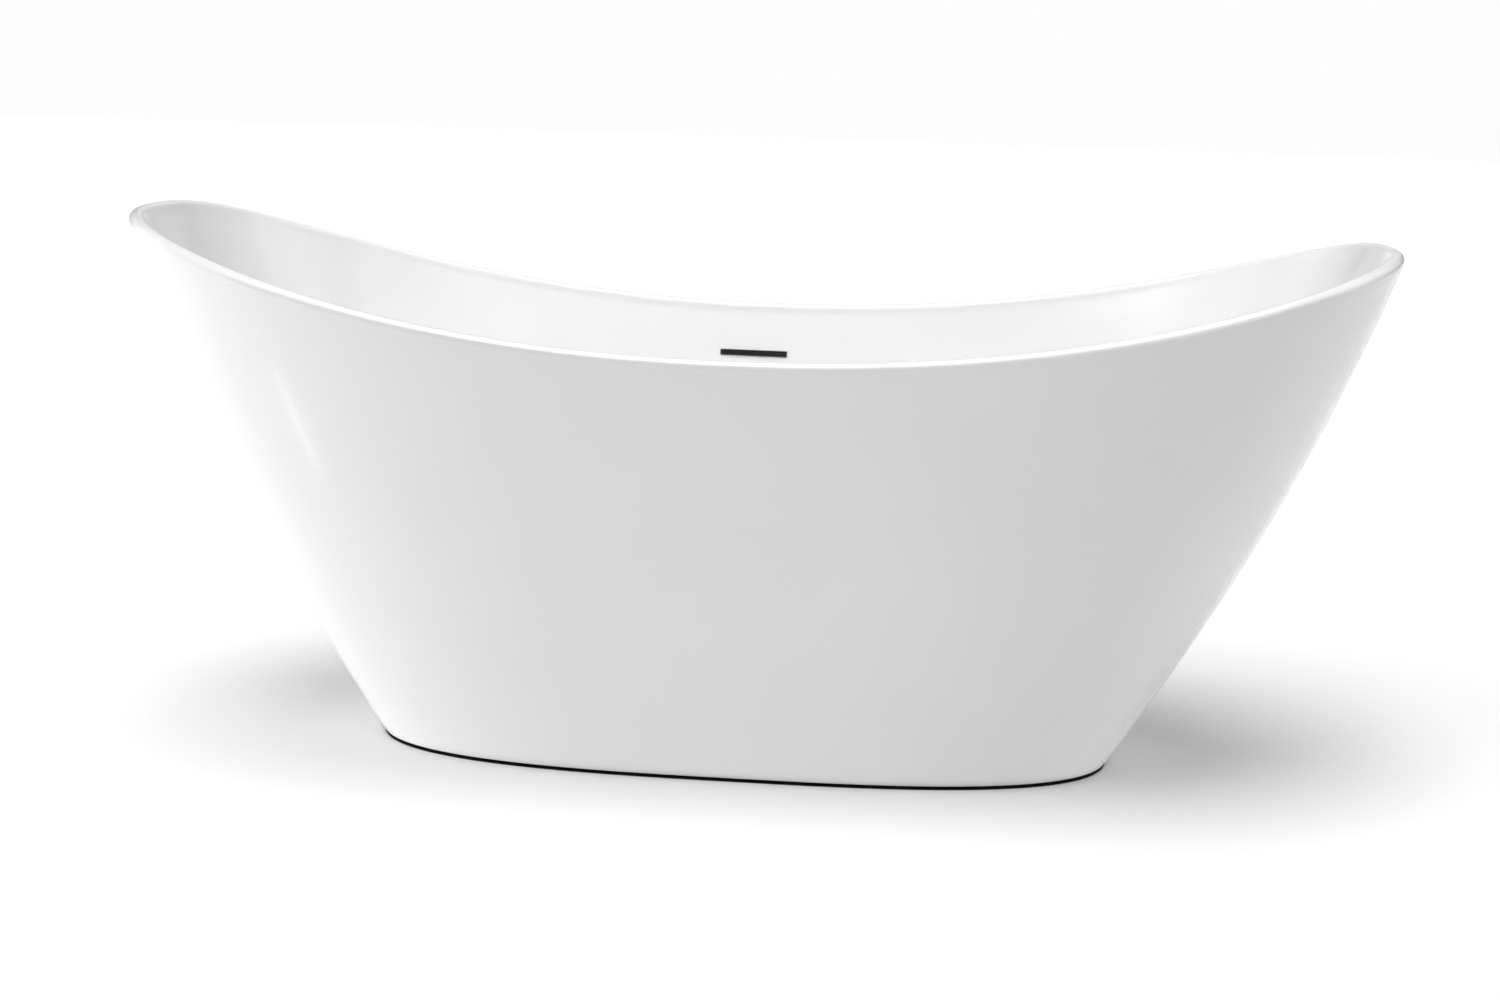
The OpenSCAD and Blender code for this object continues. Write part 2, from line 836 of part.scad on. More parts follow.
basin();
skirt();
base_board();
side_rail(-1);  // side_rail_front
side_rail(1);  // side_rail_back
for (i = [0:3]) {
  cross_rail(i);
  skirt_bracket(i);
  foot_stud(i);
  foot_pad(i);
}
frame_screws();
bracket_screws();
foot_bushes();
foot_lock_nuts();
drain_flange();
drain_gasket_upper();
drain_gasket_lower();
drain_body();
slip_nut();
slip_washer();
tailpiece();
stopper_cap();
stopper_seal();
stopper_stem();
stopper_cartridge();
stopper_spring();
overflow_trim();
overflow_gasket();
overflow_box();
overflow_hose();
hose_clamps();
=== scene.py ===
"""The looks of a freestanding double slipper bathtub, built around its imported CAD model.

Everything is in metres in the CAD frame: X runs along the tub, Y points to the overflow wall, Z is up.
The two shells are skinned over rings of points that follow the same shape rules as the CAD solids.
"""
import math

import bmesh
import bpy
import numpy as np
from mathutils import Matrix, Vector


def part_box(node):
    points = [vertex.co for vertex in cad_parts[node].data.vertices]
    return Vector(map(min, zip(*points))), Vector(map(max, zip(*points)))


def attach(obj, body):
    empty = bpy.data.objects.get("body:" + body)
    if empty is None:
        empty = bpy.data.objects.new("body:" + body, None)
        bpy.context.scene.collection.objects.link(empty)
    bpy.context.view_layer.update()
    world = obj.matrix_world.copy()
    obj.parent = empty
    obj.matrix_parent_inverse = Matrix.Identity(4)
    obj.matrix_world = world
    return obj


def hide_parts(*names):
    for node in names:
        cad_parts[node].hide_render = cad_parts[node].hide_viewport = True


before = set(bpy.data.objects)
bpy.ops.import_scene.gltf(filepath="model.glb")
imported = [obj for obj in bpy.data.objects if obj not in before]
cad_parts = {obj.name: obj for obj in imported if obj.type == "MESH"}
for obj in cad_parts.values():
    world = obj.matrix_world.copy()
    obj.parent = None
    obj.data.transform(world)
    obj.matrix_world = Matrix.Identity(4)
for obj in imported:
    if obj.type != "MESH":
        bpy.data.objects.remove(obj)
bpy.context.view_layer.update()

MM = 0.001

# ---------------------------------------------------------------- sizes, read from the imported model


def node_points(node):
    """A CAD node's vertices, one row each."""
    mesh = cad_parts[node].data
    points = np.zeros(len(mesh.vertices) * 3, np.float32)
    mesh.vertices.foreach_get("co", points)
    return points.reshape(-1, 3).astype(float)


BASIN_LOW, BASIN_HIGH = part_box("basin")
SKIRT_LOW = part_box("skirt")[0]
basin_points = node_points("basin")
foot_points = node_points("skirt")
foot_points = foot_points[foot_points[:, 2] < SKIRT_LOW.z + 0.1 * MM]

HALF_LENGTH = BASIN_HIGH.x
HALF_WIDTH = BASIN_HIGH.y
END_HEIGHT = BASIN_HIGH.z
MID_HEIGHT = basin_points[abs(basin_points[:, 0]) < 1 * MM, 2].max()
BASE_HALF_LENGTH = foot_points[:, 0].max()
BASE_HALF_WIDTH = foot_points[:, 1].max()
FLOOR_GAP = SKIRT_LOW.z

# The shells' shape rules, as in the CAD
RIM_SQUARENESS = 2.9
BASE_SQUARENESS = 2.9
RIM_RISE = 2.15
END_BULGE = 0.32
SIDE_BULGE = 0.23
BASIN_WALL = 6 * MM
SKIRT_WALL = 5 * MM
LIP_RADIUS = 10 * MM
LIP_DEPTH = 18 * MM
LIP_EDGE = 0.05 * MM
WELL_FLOOR = BASIN_LOW.z + BASIN_WALL
WELL_HALF_LENGTH = 545 * MM
WELL_HALF_WIDTH = 205 * MM
WELL_SQUARENESS = 2.8
WELL_FILLET = 60 * MM
WELL_END_BULGE = 0.12
WELL_SIDE_BULGE = -0.2
SKIRT_FLANGE = 35 * MM
SEAM = 0.04 * MM
ACRYLIC_WHITE = (0.94, 0.94, 0.94)
ACRYLIC_SHADE = (0.925, 0.925, 0.925)

# The holes in the basin
WASTE_HOLE_R = 24 * MM
RECESS_R = 38 * MM
RECESS_DEPTH = 2 * MM
SLOT_MARGIN = 2 * MM
BEZEL_THICK = 1.3 * MM
BEZEL_GAP = 0.9 * MM

# How finely the shells are divided. Within the reach below the lip the rings stand a step apart, in mm
COLUMNS = 320
SLOT_COLUMNS = 8
RINGS_BELOW_SLOT = 28
RINGS_ABOVE_SLOT = 8
LIP_FINE_REACH = 9
LIP_FINE_STEP = 1.5


def overflow_place():
    """The overflow's own frame: Y runs out through the wall and Z up along it, from the wet face."""
    points = node_points("overflow_trim")
    end = points[points[:, 0] > points[:, 0].max() - 0.1 * MM]
    along = Vector((1, 0, 0))
    up = Vector(end[end[:, 2].argmax()] - end[end[:, 1].argmin()]).normalized()
    out = up.cross(along)
    place = Matrix((along, out, up)).transposed().to_4x4()
    place.translation = Vector(end.mean(axis=0)) + out * (BEZEL_THICK / 2 + BEZEL_GAP)
    place.translation.x = (points[:, 0].max() + points[:, 0].min()) / 2
    return place, end


OVERFLOW, bezel_end = overflow_place()
OVERFLOW_TILT = math.atan2(OVERFLOW[1][2], OVERFLOW[2][2])
TRIM_LOW, TRIM_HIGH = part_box("overflow_trim")
TRIM_HALF_LENGTH = (TRIM_HIGH.x - TRIM_LOW.x) / 2
TRIM_HALF_TALL = (bezel_end[:, 2].max() - bezel_end[:, 2].min() - BEZEL_THICK * math.sin(OVERFLOW_TILT)) / 2
TRIM_HALF_TALL = TRIM_HALF_TALL / math.cos(OVERFLOW_TILT)
SLOT_HALF_LENGTH = TRIM_HALF_LENGTH - SLOT_MARGIN
SLOT_HALF_TALL = TRIM_HALF_TALL - SLOT_MARGIN / 2

# ---------------------------------------------------------------- shape rules


def mix(low, high, share):
    return low + (high - low) * share


def oval(half_x, half_y, squareness, turn):
    """Points of a superellipse, where squareness 2 is an ellipse."""
    cos, sin = np.cos(turn), np.sin(turn)
    power = 2 / squareness
    x = half_x * np.sign(cos) * abs(cos) ** power
    y = half_y * np.sign(sin) * abs(sin) ** power
    return np.stack([x, y], axis=-1)


def at_height(plan, height):
    height = np.broadcast_to(height, plan.shape[:-1])
    return np.concatenate([plan, height[..., None]], axis=-1)


def swell(share, bulge):
    return share * (1 + bulge * (1 - share))


def rim_height(turn):
    rise = abs(np.cos(turn)) ** (2 / RIM_SQUARENESS * RIM_RISE)
    return MID_HEIGHT + (END_HEIGHT - MID_HEIGHT) * rise


def turn_bulge(at_end, at_side, turn):
    return at_end * np.cos(turn) ** 2 + at_side * np.sin(turn) ** 2


def skirt_point(turn, height, inset=0.0):
    """The skirt's outer surface, or one that lies the given distance inside it."""
    foot = oval(BASE_HALF_LENGTH - inset, BASE_HALF_WIDTH - inset, BASE_SQUARENESS, turn)
    top = oval(HALF_LENGTH - inset, HALF_WIDTH - inset, RIM_SQUARENESS, turn)
    share = (height - FLOOR_GAP) / (rim_height(turn) - LIP_RADIUS - FLOOR_GAP)
    share = swell(share, turn_bulge(END_BULGE, SIDE_BULGE, turn))
    return at_height(mix(foot, top, share[..., None]), height)


def well_point(turn, height, outset=0.0):
    """The well's wall, or a surface that lies the given distance outside it."""
    lip_width = 2 * LIP_RADIUS
    foot = oval(WELL_HALF_LENGTH + outset, WELL_HALF_WIDTH + outset, WELL_SQUARENESS, turn)
    top = oval(HALF_LENGTH - lip_width + outset, HALF_WIDTH - lip_width + outset, RIM_SQUARENESS, turn)
    share = (height - WELL_FLOOR) / (rim_height(turn) - LIP_RADIUS - WELL_FLOOR)
    share = swell(share, turn_bulge(WELL_END_BULGE, WELL_SIDE_BULGE, turn))
    return at_height(mix(foot, top, share[..., None]), height)


def fillet_point(turn, share, outset=0.0):
    """The curve from the well's floor into its wall, which meets both without a crease."""
    low = WELL_FLOOR - outset
    step = 1 * MM
    edge = oval(WELL_HALF_LENGTH - WELL_FILLET, WELL_HALF_WIDTH - WELL_FILLET, WELL_SQUARENESS, turn)
    start = at_height(edge, low)
    top_height = np.full_like(turn, WELL_FLOOR + WELL_FILLET)
    end = well_point(turn, top_height, outset)
    slope = (well_point(turn, top_height + step, outset) - end) / step
    corner = end - slope * (WELL_FLOOR + WELL_FILLET - low)
    return mix(mix(start, corner, share), mix(corner, end, share), share)


def crest_point(turn, angle):
    """The lip's rounded crest, from its outer side at 0 to its inner side at pi."""
    inset = LIP_RADIUS * (1 - math.cos(angle))
    plan = oval(HALF_LENGTH - inset, HALF_WIDTH - inset, RIM_SQUARENESS, turn)
    return at_height(plan, rim_height(turn) - LIP_RADIUS + LIP_RADIUS * math.sin(angle))


def circle_under(ring, radius, height):
    """A level circle on the Z axis, with one point in line with each point of the ring."""
    angle = np.arctan2(ring[:, 1], ring[:, 0])
    return at_height(radius * np.stack([np.cos(angle), np.sin(angle)], axis=-1), height)


def even_turns(start, end, count):
    """Turns from start up to end, at equal lengths along the rim."""
    fine = np.linspace(start, end, 20001)
    line = crest_point(fine, math.pi / 2)
    length = np.concatenate([[0], np.cumsum(np.linalg.norm(np.diff(line, axis=0), axis=1))])
    return np.interp(np.linspace(0, length[-1], count + 1), length, fine)[:-1]


def slot_turn(x):
    """The turn at which the far wall of the well, at the overflow's height, has the given X."""
    fine = np.linspace(0.3 * math.pi, 0.7 * math.pi, 20001)
    line = well_point(fine, np.full_like(fine, OVERFLOW.translation.z))[:, 0]
    return np.interp(-x, -line, fine)


def column_turns():
    """The columns round the tub, the first of them dividing the overflow slot evenly."""
    middle = OVERFLOW.translation.x
    first = slot_turn(middle + SLOT_HALF_LENGTH)
    last = slot_turn(middle - SLOT_HALF_LENGTH)
    slot = even_turns(first, last, SLOT_COLUMNS)
    rest = even_turns(last, first + 2 * math.pi, COLUMNS - SLOT_COLUMNS)
    return np.concatenate([slot, rest])


TURNS = column_turns()
IN_SLOT = np.arange(COLUMNS) <= SLOT_COLUMNS

# ---------------------------------------------------------------- mesh tools

ACRYLIC_BAND, GLASS_BAND = 0, 1


class Rings:
    """Rings of points laid one after another. Each one starts a band of faces to the next."""

    def __init__(self):
        self.rings = []
        self.bands = []
        self.marks = {}

    def add(self, ring, band=ACRYLIC_BAND, mark=None):
        if mark:
            self.marks[mark] = len(self.rings)
        self.rings.append(ring)
        self.bands.append(band)

    def soften(self, mark, reach, times):
        """Rounds the crease at a marked ring by averaging the rings about it."""
        middle = self.marks[mark]
        for _ in range(times):
            before = [ring.copy() for ring in self.rings]
            for i in range(middle - reach, middle + reach + 1):
                self.rings[i] = (before[i - 1] + 2 * before[i] + before[i + 1]) / 4


def skin(name, rings, slot_bands=()):
    """A closed shell over the rings. The slot columns of its two slot bands become one hole through it."""
    count = len(rings.rings)
    faces, bands = [], []
    for i in range(count):
        below, above = i * COLUMNS, (i + 1) % count * COLUMNS
        for j in range(COLUMNS):
            if i in slot_bands and j < SLOT_COLUMNS:
                continue
            k = (j + 1) % COLUMNS
            faces.append((below + j, below + k, above + k, above + j))
            bands.append(rings.bands[i])
    if slot_bands:
        # The rings run up the wet side and down the dry side
        wet = slot_loop(slot_bands[0], slot_bands[0] + 1)
        dry = slot_loop(slot_bands[1] + 1, slot_bands[1])
        for a in range(len(wet)):
            b = (a + 1) % len(wet)
            faces.append((wet[b], wet[a], dry[a], dry[b]))
            bands.append(ACRYLIC_BAND)
    mesh = bpy.data.meshes.new(name)
    mesh.from_pydata(np.concatenate(rings.rings).tolist(), [], faces)
    mesh.polygons.foreach_set("material_index", bands)
    return tidy_piece(name, mesh)


def slot_loop(low_ring, high_ring):
    """The vertices round the slot's cells between two rings, the lower side of the slot first."""
    lower = [low_ring * COLUMNS + j for j in range(SLOT_COLUMNS + 1)]
    upper = [high_ring * COLUMNS + j for j in range(SLOT_COLUMNS, -1, -1)]
    return lower + upper


def tidy_piece(name, mesh, sharp=38):
    """Turns a mesh's faces outwards, shades it smooth but for its sharp edges, and adds it to the scene."""
    bm = bmesh.new()
    bm.from_mesh(mesh)
    bmesh.ops.recalc_face_normals(bm, faces=bm.faces)
    bm.to_mesh(mesh)
    bm.free()
    mesh.polygons.foreach_set("use_smooth", [True] * len(mesh.polygons))
    mesh.set_sharp_from_angle(angle=math.radians(sharp))
    mesh.update()
    piece = bpy.data.objects.new(name, mesh)
    bpy.context.scene.collection.objects.link(piece)
    return piece


# ---------------------------------------------------------------- shells


def wall_rings(rings, outset, low, high, slot_shift, band, up):
    """Rings up or down the well's wall, two of them along the slot's lower and upper edges."""
    centre = OVERFLOW.translation.z + slot_shift
    reach = SLOT_HALF_TALL * math.cos(OVERFLOW_TILT)
    slot_low = (centre - reach - low[0]) / (high[0] - low[0])
    slot_high = (centre + reach - low[0]) / (high[0] - low[0])
    below = np.linspace(0, slot_low, RINGS_BELOW_SLOT)
    above = np.linspace(slot_high, 1, RINGS_ABOVE_SLOT)
    shares = np.concatenate([below, above])
    slot_edges = {RINGS_BELOW_SLOT - 1: ("low", centre - reach), RINGS_BELOW_SLOT: ("high", centre + reach)}
    order = range(len(shares)) if up else range(len(shares) - 1, -1, -1)
    for i in order:
        height = mix(low, high, shares[i])
        mark = None
        if i in slot_edges:
            side, edge_height = slot_edges[i]
            height = np.where(IN_SLOT, edge_height, height)
            mark = f"slot_{side}_{band}"
        rings.add(well_point(TURNS, height, outset), band, mark)


def waste_rings(rings, outline):
    """Rings up the recess round the waste hole and out over the floor, as far as the fillet."""
    recess = WELL_FLOOR - RECESS_DEPTH
    for radius, height in (
        (WASTE_HOLE_R, recess - 0.4 * MM),
        (WASTE_HOLE_R + 0.4 * MM, recess),
        (RECESS_R - 0.8 * MM, recess),
        (RECESS_R - 0.2 * MM, recess + 0.3 * MM),
        (RECESS_R, recess + 1 * MM),
        (RECESS_R + 0.4 * MM, WELL_FLOOR - 0.3 * MM),
        (RECESS_R + 1.2 * MM, WELL_FLOOR),
    ):
        rings.add(circle_under(outline, radius, height))
    start = rings.rings[-1]
    for share in np.linspace(0, 1, 11)[1:-1]:
        rings.add(mix(start, outline, share))


def lip_rings(rings, rim):
    """Rings from just below the lip, over its crest and down to its lower edge outside."""
    for drop in np.arange(LIP_FINE_REACH - LIP_FINE_STEP, 0, -LIP_FINE_STEP):
        rings.add(well_point(TURNS, rim - LIP_RADIUS - drop * MM))
    for angle in np.linspace(180, 0, 25):
        mark = {180: "inner_crease", 0: "outer_crease"}.get(angle)
        rings.add(crest_point(TURNS, math.radians(angle)), mark=mark)
    for drop in np.linspace(0, 1, 7)[1:]:
        rings.add(skirt_point(TURNS, rim - mix(LIP_RADIUS, LIP_DEPTH - LIP_EDGE, drop)))
    rings.add(skirt_point(TURNS, rim - LIP_DEPTH, LIP_EDGE))


def basin_rings():
    """Rings from the waste hole over the floor, up the well's wall, over the lip and back underneath."""
    rings = Rings()
    rim = rim_height(TURNS)
    wall_low = np.full(COLUMNS, WELL_FLOOR + WELL_FILLET)
    outline = fillet_point(TURNS, 0.0)
    waste_rings(rings, outline)
    for share in np.linspace(0, 1, 15)[:-1]:
        rings.add(fillet_point(TURNS, share))
    wall_top = rim - LIP_RADIUS - LIP_FINE_REACH * MM
    wall_rings(rings, 0.0, wall_low, wall_top, 0.0, ACRYLIC_BAND, True)
    lip_rings(rings, rim)
    slot_shift = -BASIN_WALL * math.cos(OVERFLOW_TILT) * math.sin(OVERFLOW_TILT)
    wall_rings(rings, BASIN_WALL, wall_low, rim - LIP_DEPTH, slot_shift, GLASS_BAND, False)
    for share in np.linspace(1, 0, 11)[1:]:
        rings.add(fillet_point(TURNS, share, BASIN_WALL), GLASS_BAND)
    edge = rings.rings[-1]
    hole = circle_under(outline, WASTE_HOLE_R, BASIN_LOW.z)
    for share in np.linspace(1, 0, 8)[1:]:
        rings.add(mix(hole, edge, share), GLASS_BAND)
    rings.soften("inner_crease", 5, 14)
    rings.soften("outer_crease", 3, 5)
    return rings


def skirt_rings():
    """Rings from the skirt's foot up its outside, and down its inside to the inturned flange."""
    rings = Rings()
    top = rim_height(TURNS) - LIP_DEPTH - SEAM
    foot = np.full(COLUMNS, FLOOR_GAP)
    radius = 1.5 * MM
    for angle in np.radians([0, 30, 60, 90]):
        height = foot + radius * (1 - math.cos(angle))
        rings.add(skirt_point(TURNS, height, radius * (1 - math.sin(angle))))
    for share in np.linspace(0, 1, 46)[1:]:
        rings.add(skirt_point(TURNS, mix(foot + radius, top, share)))
    flange_top = foot + SKIRT_WALL
    for share in np.linspace(1, 0, 24):
        rings.add(skirt_point(TURNS, mix(flange_top, top, share), SKIRT_WALL), GLASS_BAND)
    rings.add(skirt_point(TURNS, flange_top, SKIRT_FLANGE), GLASS_BAND)
    rings.add(skirt_point(TURNS, foot, SKIRT_FLANGE))
    return rings


def build_basin():
    rings = basin_rings()
    piece = skin("basin_shell", rings, (rings.marks["slot_low_0"], rings.marks["slot_high_1"]))
    give(piece, acrylic(), glass_fibre())
    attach(piece, "root")
    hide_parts("basin")


def build_skirt():
    piece = skin("skirt_shell", skirt_rings())
    give(piece, acrylic(), glass_fibre())
    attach(piece, "root")
    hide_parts("skirt")


# ---------------------------------------------------------------- built shapes: (points, faces) pairs


def turned(profile, segments=72, place=Matrix()):
    """A shape turned about Z. It is solid where its profile starts on the axis, and a ring otherwise.
    A radius may be a function of the angle."""
    points, rows = [], []
    for radius, height in profile:
        start = len(points)
        if radius == 0:
            points.append(Vector((0, 0, height)))
            rows.append([start])
            continue
        for i in range(segments):
            angle = 2 * math.pi * i / segments
            reach = radius(angle) if callable(radius) else radius
            points.append(Vector((reach * math.cos(angle), reach * math.sin(angle), height)))
        rows.append(list(range(start, start + segments)))
    pairs = list(zip(rows, rows[1:]))
    if profile[0][0] != 0:
        pairs.append((rows[-1], rows[0]))
    return [place @ point for point in points], row_faces(pairs, segments)


def row_faces(pairs, count):
    """Faces between rows of vertices, where a row of one vertex is a pole."""
    faces = []
    for low, high in pairs:
        for i in range(count):
            j = (i + 1) % count
            corners = [low[i % len(low)], low[j % len(low)], high[j % len(high)], high[i % len(high)]]
            corners = list(dict.fromkeys(corners))
            if len(corners) > 2:
                faces.append(corners)
    return faces


def loft(rings, closed=False, place=Matrix()):
    """A skin over rings of equal counts, closed into a loop or with a flat cap at each end."""
    count = len(rings[0])
    rows = [list(range(i * count, (i + 1) * count)) for i in range(len(rings))]
    pairs = list(zip(rows, rows[1:]))
    if closed:
        pairs.append((rows[-1], rows[0]))
    faces = row_faces(pairs, count)
    if not closed:
        faces += [rows[0], rows[-1]]
    return [place @ Vector(point) for ring in rings for point in ring], faces


def block(low, high, edge, place=Matrix()):
    """A box with rounded edges."""
    low, high = Vector(low), Vector(high)
    bm = bmesh.new()
    bmesh.ops.create_cube(bm, size=1)
    bmesh.ops.scale(bm, vec=high - low, verts=bm.verts)
    bmesh.ops.translate(bm, vec=(low + high) / 2, verts=bm.verts)
    bmesh.ops.bevel(bm, geom=bm.edges[:], offset=edge, segments=3, profile=0.5, affect="EDGES")
    bm.verts.index_update()
    points = [place @ vert.co for vert in bm.verts]
    faces = [[vert.index for vert in face.verts] for face in bm.faces]
    bm.free()
    return points, faces


def rounded_rectangle(half_x, half_y, corner, height=0.0, steps=6):
    ring = []
    for side_x, side_y, start in ((1, 1, 0), (-1, 1, 90), (-1, -1, 180), (1, -1, 270)):
        for i in range(steps + 1):
            angle = math.radians(start + 90 * i / steps)
            x = side_x * (half_x - corner) + corner * math.cos(angle)
            y = side_y * (half_y - corner) + corner * math.sin(angle)
            ring.append((x, y, height))
    return ring


def hexagon(radius):
    """The reach of a hexagon's side at an angle, for turned()."""
    side = math.pi / 3
    return lambda angle: radius * math.cos(side / 2) / math.cos(angle % side - side / 2)


def thread(radius, depth, height, pitch):
    """The reach of a screw thread at one height, for turned()."""
    def reach(angle):
        phase = (height / pitch - angle / (2 * math.pi)) % 1
        return radius - depth * abs(2 * phase - 1)
    return reach


def sweep(path, radii, sides=20):
    """Rings square to a path, turned as little as possible from one to the next."""
    rings = []
    along = (path[1] - path[0]).normalized()
    across = along.orthogonal().normalized()
    for i, (point, radius) in enumerate(zip(path, radii)):
        ahead = (path[min(i + 1, len(path) - 1)] - path[max(i - 1, 0)]).normalized()
        across = (across - ahead * across.dot(ahead)).normalized()
        other = ahead.cross(across)
        ring = []
        for s in range(sides):
            angle = 2 * math.pi * s / sides
            ring.append(point + (math.cos(angle) * across + math.sin(angle) * other) * float(radius))
        rings.append(ring)
    return rings


def add_piece(name, shapes, finish, body, *nodes, sharp=38):
    """One piece made of several closed shapes, riding on a body in place of CAD nodes."""
    points, faces = [], []
    for shape_points, shape_faces in shapes:
        start = len(points)
        points += [tuple(point) for point in shape_points]
        faces += [[start + i for i in face] for face in shape_faces]
    mesh = bpy.data.meshes.new(name)
    mesh.from_pydata(points, [], faces)
    piece = tidy_piece(name, mesh, sharp)
    give(piece, FINISHES[finish]())
    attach(piece, body)
    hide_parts(*nodes)
    return piece


def eased(radius_in, radius_out, low, high, edge):
    """The profile of a ring with softened corners."""
    return [
        (radius_in, low + edge), (radius_in + edge, low),
        (radius_out - edge, low), (radius_out, low + edge),
        (radius_out, high - edge), (radius_out - edge, high),
        (radius_in + edge, high), (radius_in, high - edge),
    ]


# ---------------------------------------------------------------- frame under the basin

RAIL_CORNER = 3 * MM
RAIL_WALL = 2 * MM
WELD_R = 2.2 * MM
WELD_RIPPLES = 9


def rail(low, high, lengthwise):
    """A square tube with rounded corners, along X or along Y."""
    size = high - low
    length = size.x if lengthwise else size.y
    half = size.z / 2
    turn = Matrix.Rotation(math.pi / 2, 4, "Y") if lengthwise else Matrix.Rotation(-math.pi / 2, 4, "X")
    place = Matrix.Translation((low + high) / 2) @ turn
    bore = half - RAIL_WALL
    edge = 0.3 * MM
    end = length / 2
    tube = [
        (bore, RAIL_CORNER - RAIL_WALL, -end), (half - edge, RAIL_CORNER - edge, -end),
        (half, RAIL_CORNER, -end + edge), (half, RAIL_CORNER, end - edge),
        (half - edge, RAIL_CORNER - edge, end), (bore, RAIL_CORNER - RAIL_WALL, end),
    ]
    rings = [rounded_rectangle(reach, reach, corner, height) for reach, corner, height in tube]
    return loft(rings, closed=True, place=place)


def weld(start, end):
    """A weld bead between two points, with the ripple of its drops."""
    steps = 40
    path, radii = [], []
    for i in range(steps + 1):
        share = i / steps
        path.append(Vector(start).lerp(Vector(end), share))
        ease = min(share, 1 - share, 0.1) / 0.1
        ripple = math.sin(2 * math.pi * share * WELD_RIPPLES)
        radii.append(WELD_R * (0.55 + 0.35 * math.sqrt(ease) + 0.1 * ripple))
    return loft(sweep(path, radii, 10))


def build_rails():
    for side in ("front", "back"):
        node = f"side_rail_{side}"
        low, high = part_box(node)
        add_piece(f"{node}_tube", [rail(low, high, True)], "frame_paint", "root", node)
    for i in range(1, 5):
        node = f"cross_rail_{i}"
        low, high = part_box(node)
        shapes = [rail(low, high, False)]
        for y in (low.y, high.y):
            for z in (low.z, high.z):
                shapes.append(weld((low.x + RAIL_CORNER, y, z), (high.x - RAIL_CORNER, y, z)))
            for x in (low.x, high.x):
                shapes.append(weld((x, y, low.z + RAIL_CORNER), (x, y, high.z - RAIL_CORNER)))
        add_piece(f"{node}_tube", shapes, "frame_paint", "root", node)


BOARD_CORNER = 40 * MM
BOARD_HOLE_R = 48 * MM


def build_board():
    low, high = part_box("base_board")
    edge = 1.2 * MM
    steps = 12

    def outline(inset, height):
        return rounded_rectangle(high.x - inset, high.y - inset, BOARD_CORNER - inset, height, steps)

    def hole(radius, height):
        ring = []
        for x, y, _ in outline(0, 0):
            angle = math.atan2(y, x)
            ring.append((radius * math.cos(angle), radius * math.sin(angle), height))
        return ring

    rings = [
        hole(BOARD_HOLE_R, low.z + edge), hole(BOARD_HOLE_R + edge, low.z),
        outline(edge, low.z), outline(0, low.z + edge), outline(0, high.z - edge), outline(edge, high.z),
        hole(BOARD_HOLE_R + edge, high.z), hole(BOARD_HOLE_R, high.z - edge),
    ]
    add_piece("bonded_board", [loft(rings, closed=True)], "board", "root", "base_board")


FRAME_SCREW_R = 2.5 * MM
FRAME_SCREW_HEAD_R = 5 * MM
FRAME_SCREW_HEAD = 3.5 * MM
BRACKET_SCREW_HEAD = 3 * MM
BRACKET_SCREW_SHIFT = 10 * MM
BRACKET_SCREW_BITE = 6 * MM
SCREW_PITCH = 1 * MM
SCREW_THREAD = 0.35 * MM


def screw(head_r, shaft_r, head_low, head_high, tip, place=Matrix()):
    """A screw with a domed, socketed head at its low end and a threaded shaft."""
    socket = hexagon(head_r * 0.42)
    depth = (head_high - head_low) * 0.6
    profile = [(0, head_low + depth), (socket, head_low + depth), (socket, head_low + 0.2 * MM)]
    for i in range(5):
        angle = math.pi / 2 * i / 4
        reach = mix(head_r * 0.6, head_r, math.sin(angle))
        profile.append((reach, head_low + depth * (1 - math.cos(angle))))
    profile += [(head_r, head_high), (shaft_r, head_high)]
    for i in range(1, int((tip - head_high) / SCREW_PITCH * 4)):
        height = head_high + i * SCREW_PITCH / 4
        profile.append((thread(shaft_r, SCREW_THREAD, height, SCREW_PITCH), height))
    profile += [(shaft_r * 0.6, tip), (0, tip)]
    return turned(profile, 36, place)


def build_frame_screws():
    low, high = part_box("frame_screws")
    shapes = []
    for i in range(1, 5):
        rail_low, rail_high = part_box(f"cross_rail_{i}")
        x = (rail_low.x + rail_high.x) / 2
        for y in (low.y + FRAME_SCREW_HEAD_R, high.y - FRAME_SCREW_HEAD_R):
            place = Matrix.Translation((x, y, 0))
            head = low.z + FRAME_SCREW_HEAD
            shapes.append(screw(FRAME_SCREW_HEAD_R, FRAME_SCREW_R, low.z, head, high.z, place))
    add_piece("frame_screw_set", shapes, "zinc_steel", "root", "frame_screws")


def build_bracket_screws():
    low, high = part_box("bracket_screws")
    height = (low.z + high.z) / 2
    reach = high.y
    tip = reach - (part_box("side_rail_back")[1].y - BRACKET_SCREW_BITE)
    shapes = []
    for i in range(1, 5):
        bracket_low, bracket_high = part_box(f"skirt_bracket_{i}")
        middle = (bracket_low + bracket_high) / 2
        side = math.copysign(1, middle.y)
        for shift in (-BRACKET_SCREW_SHIFT, BRACKET_SCREW_SHIFT):
            turn = Matrix.Rotation(side * math.pi / 2, 4, "X")
            place = Matrix.Translation((middle.x + shift, side * reach, height)) @ turn
            shapes.append(screw(FRAME_SCREW_HEAD_R, FRAME_SCREW_R, 0, BRACKET_SCREW_HEAD, tip, place))
    add_piece("bracket_screw_set", shapes, "zinc_steel", "root", "bracket_screws")


BRACKET_THICK = 3 * MM
BRACKET_BEND_R = 4 * MM


def bend(centre_y, centre_z, radius):
    """A quarter turn round a bend's centre, from the upright leg to the level one."""
    points = []
    for k in range(9):
        angle = math.pi / 2 * k / 8
        points.append((centre_y - radius * math.cos(angle), centre_z - radius * math.sin(angle)))
    return points


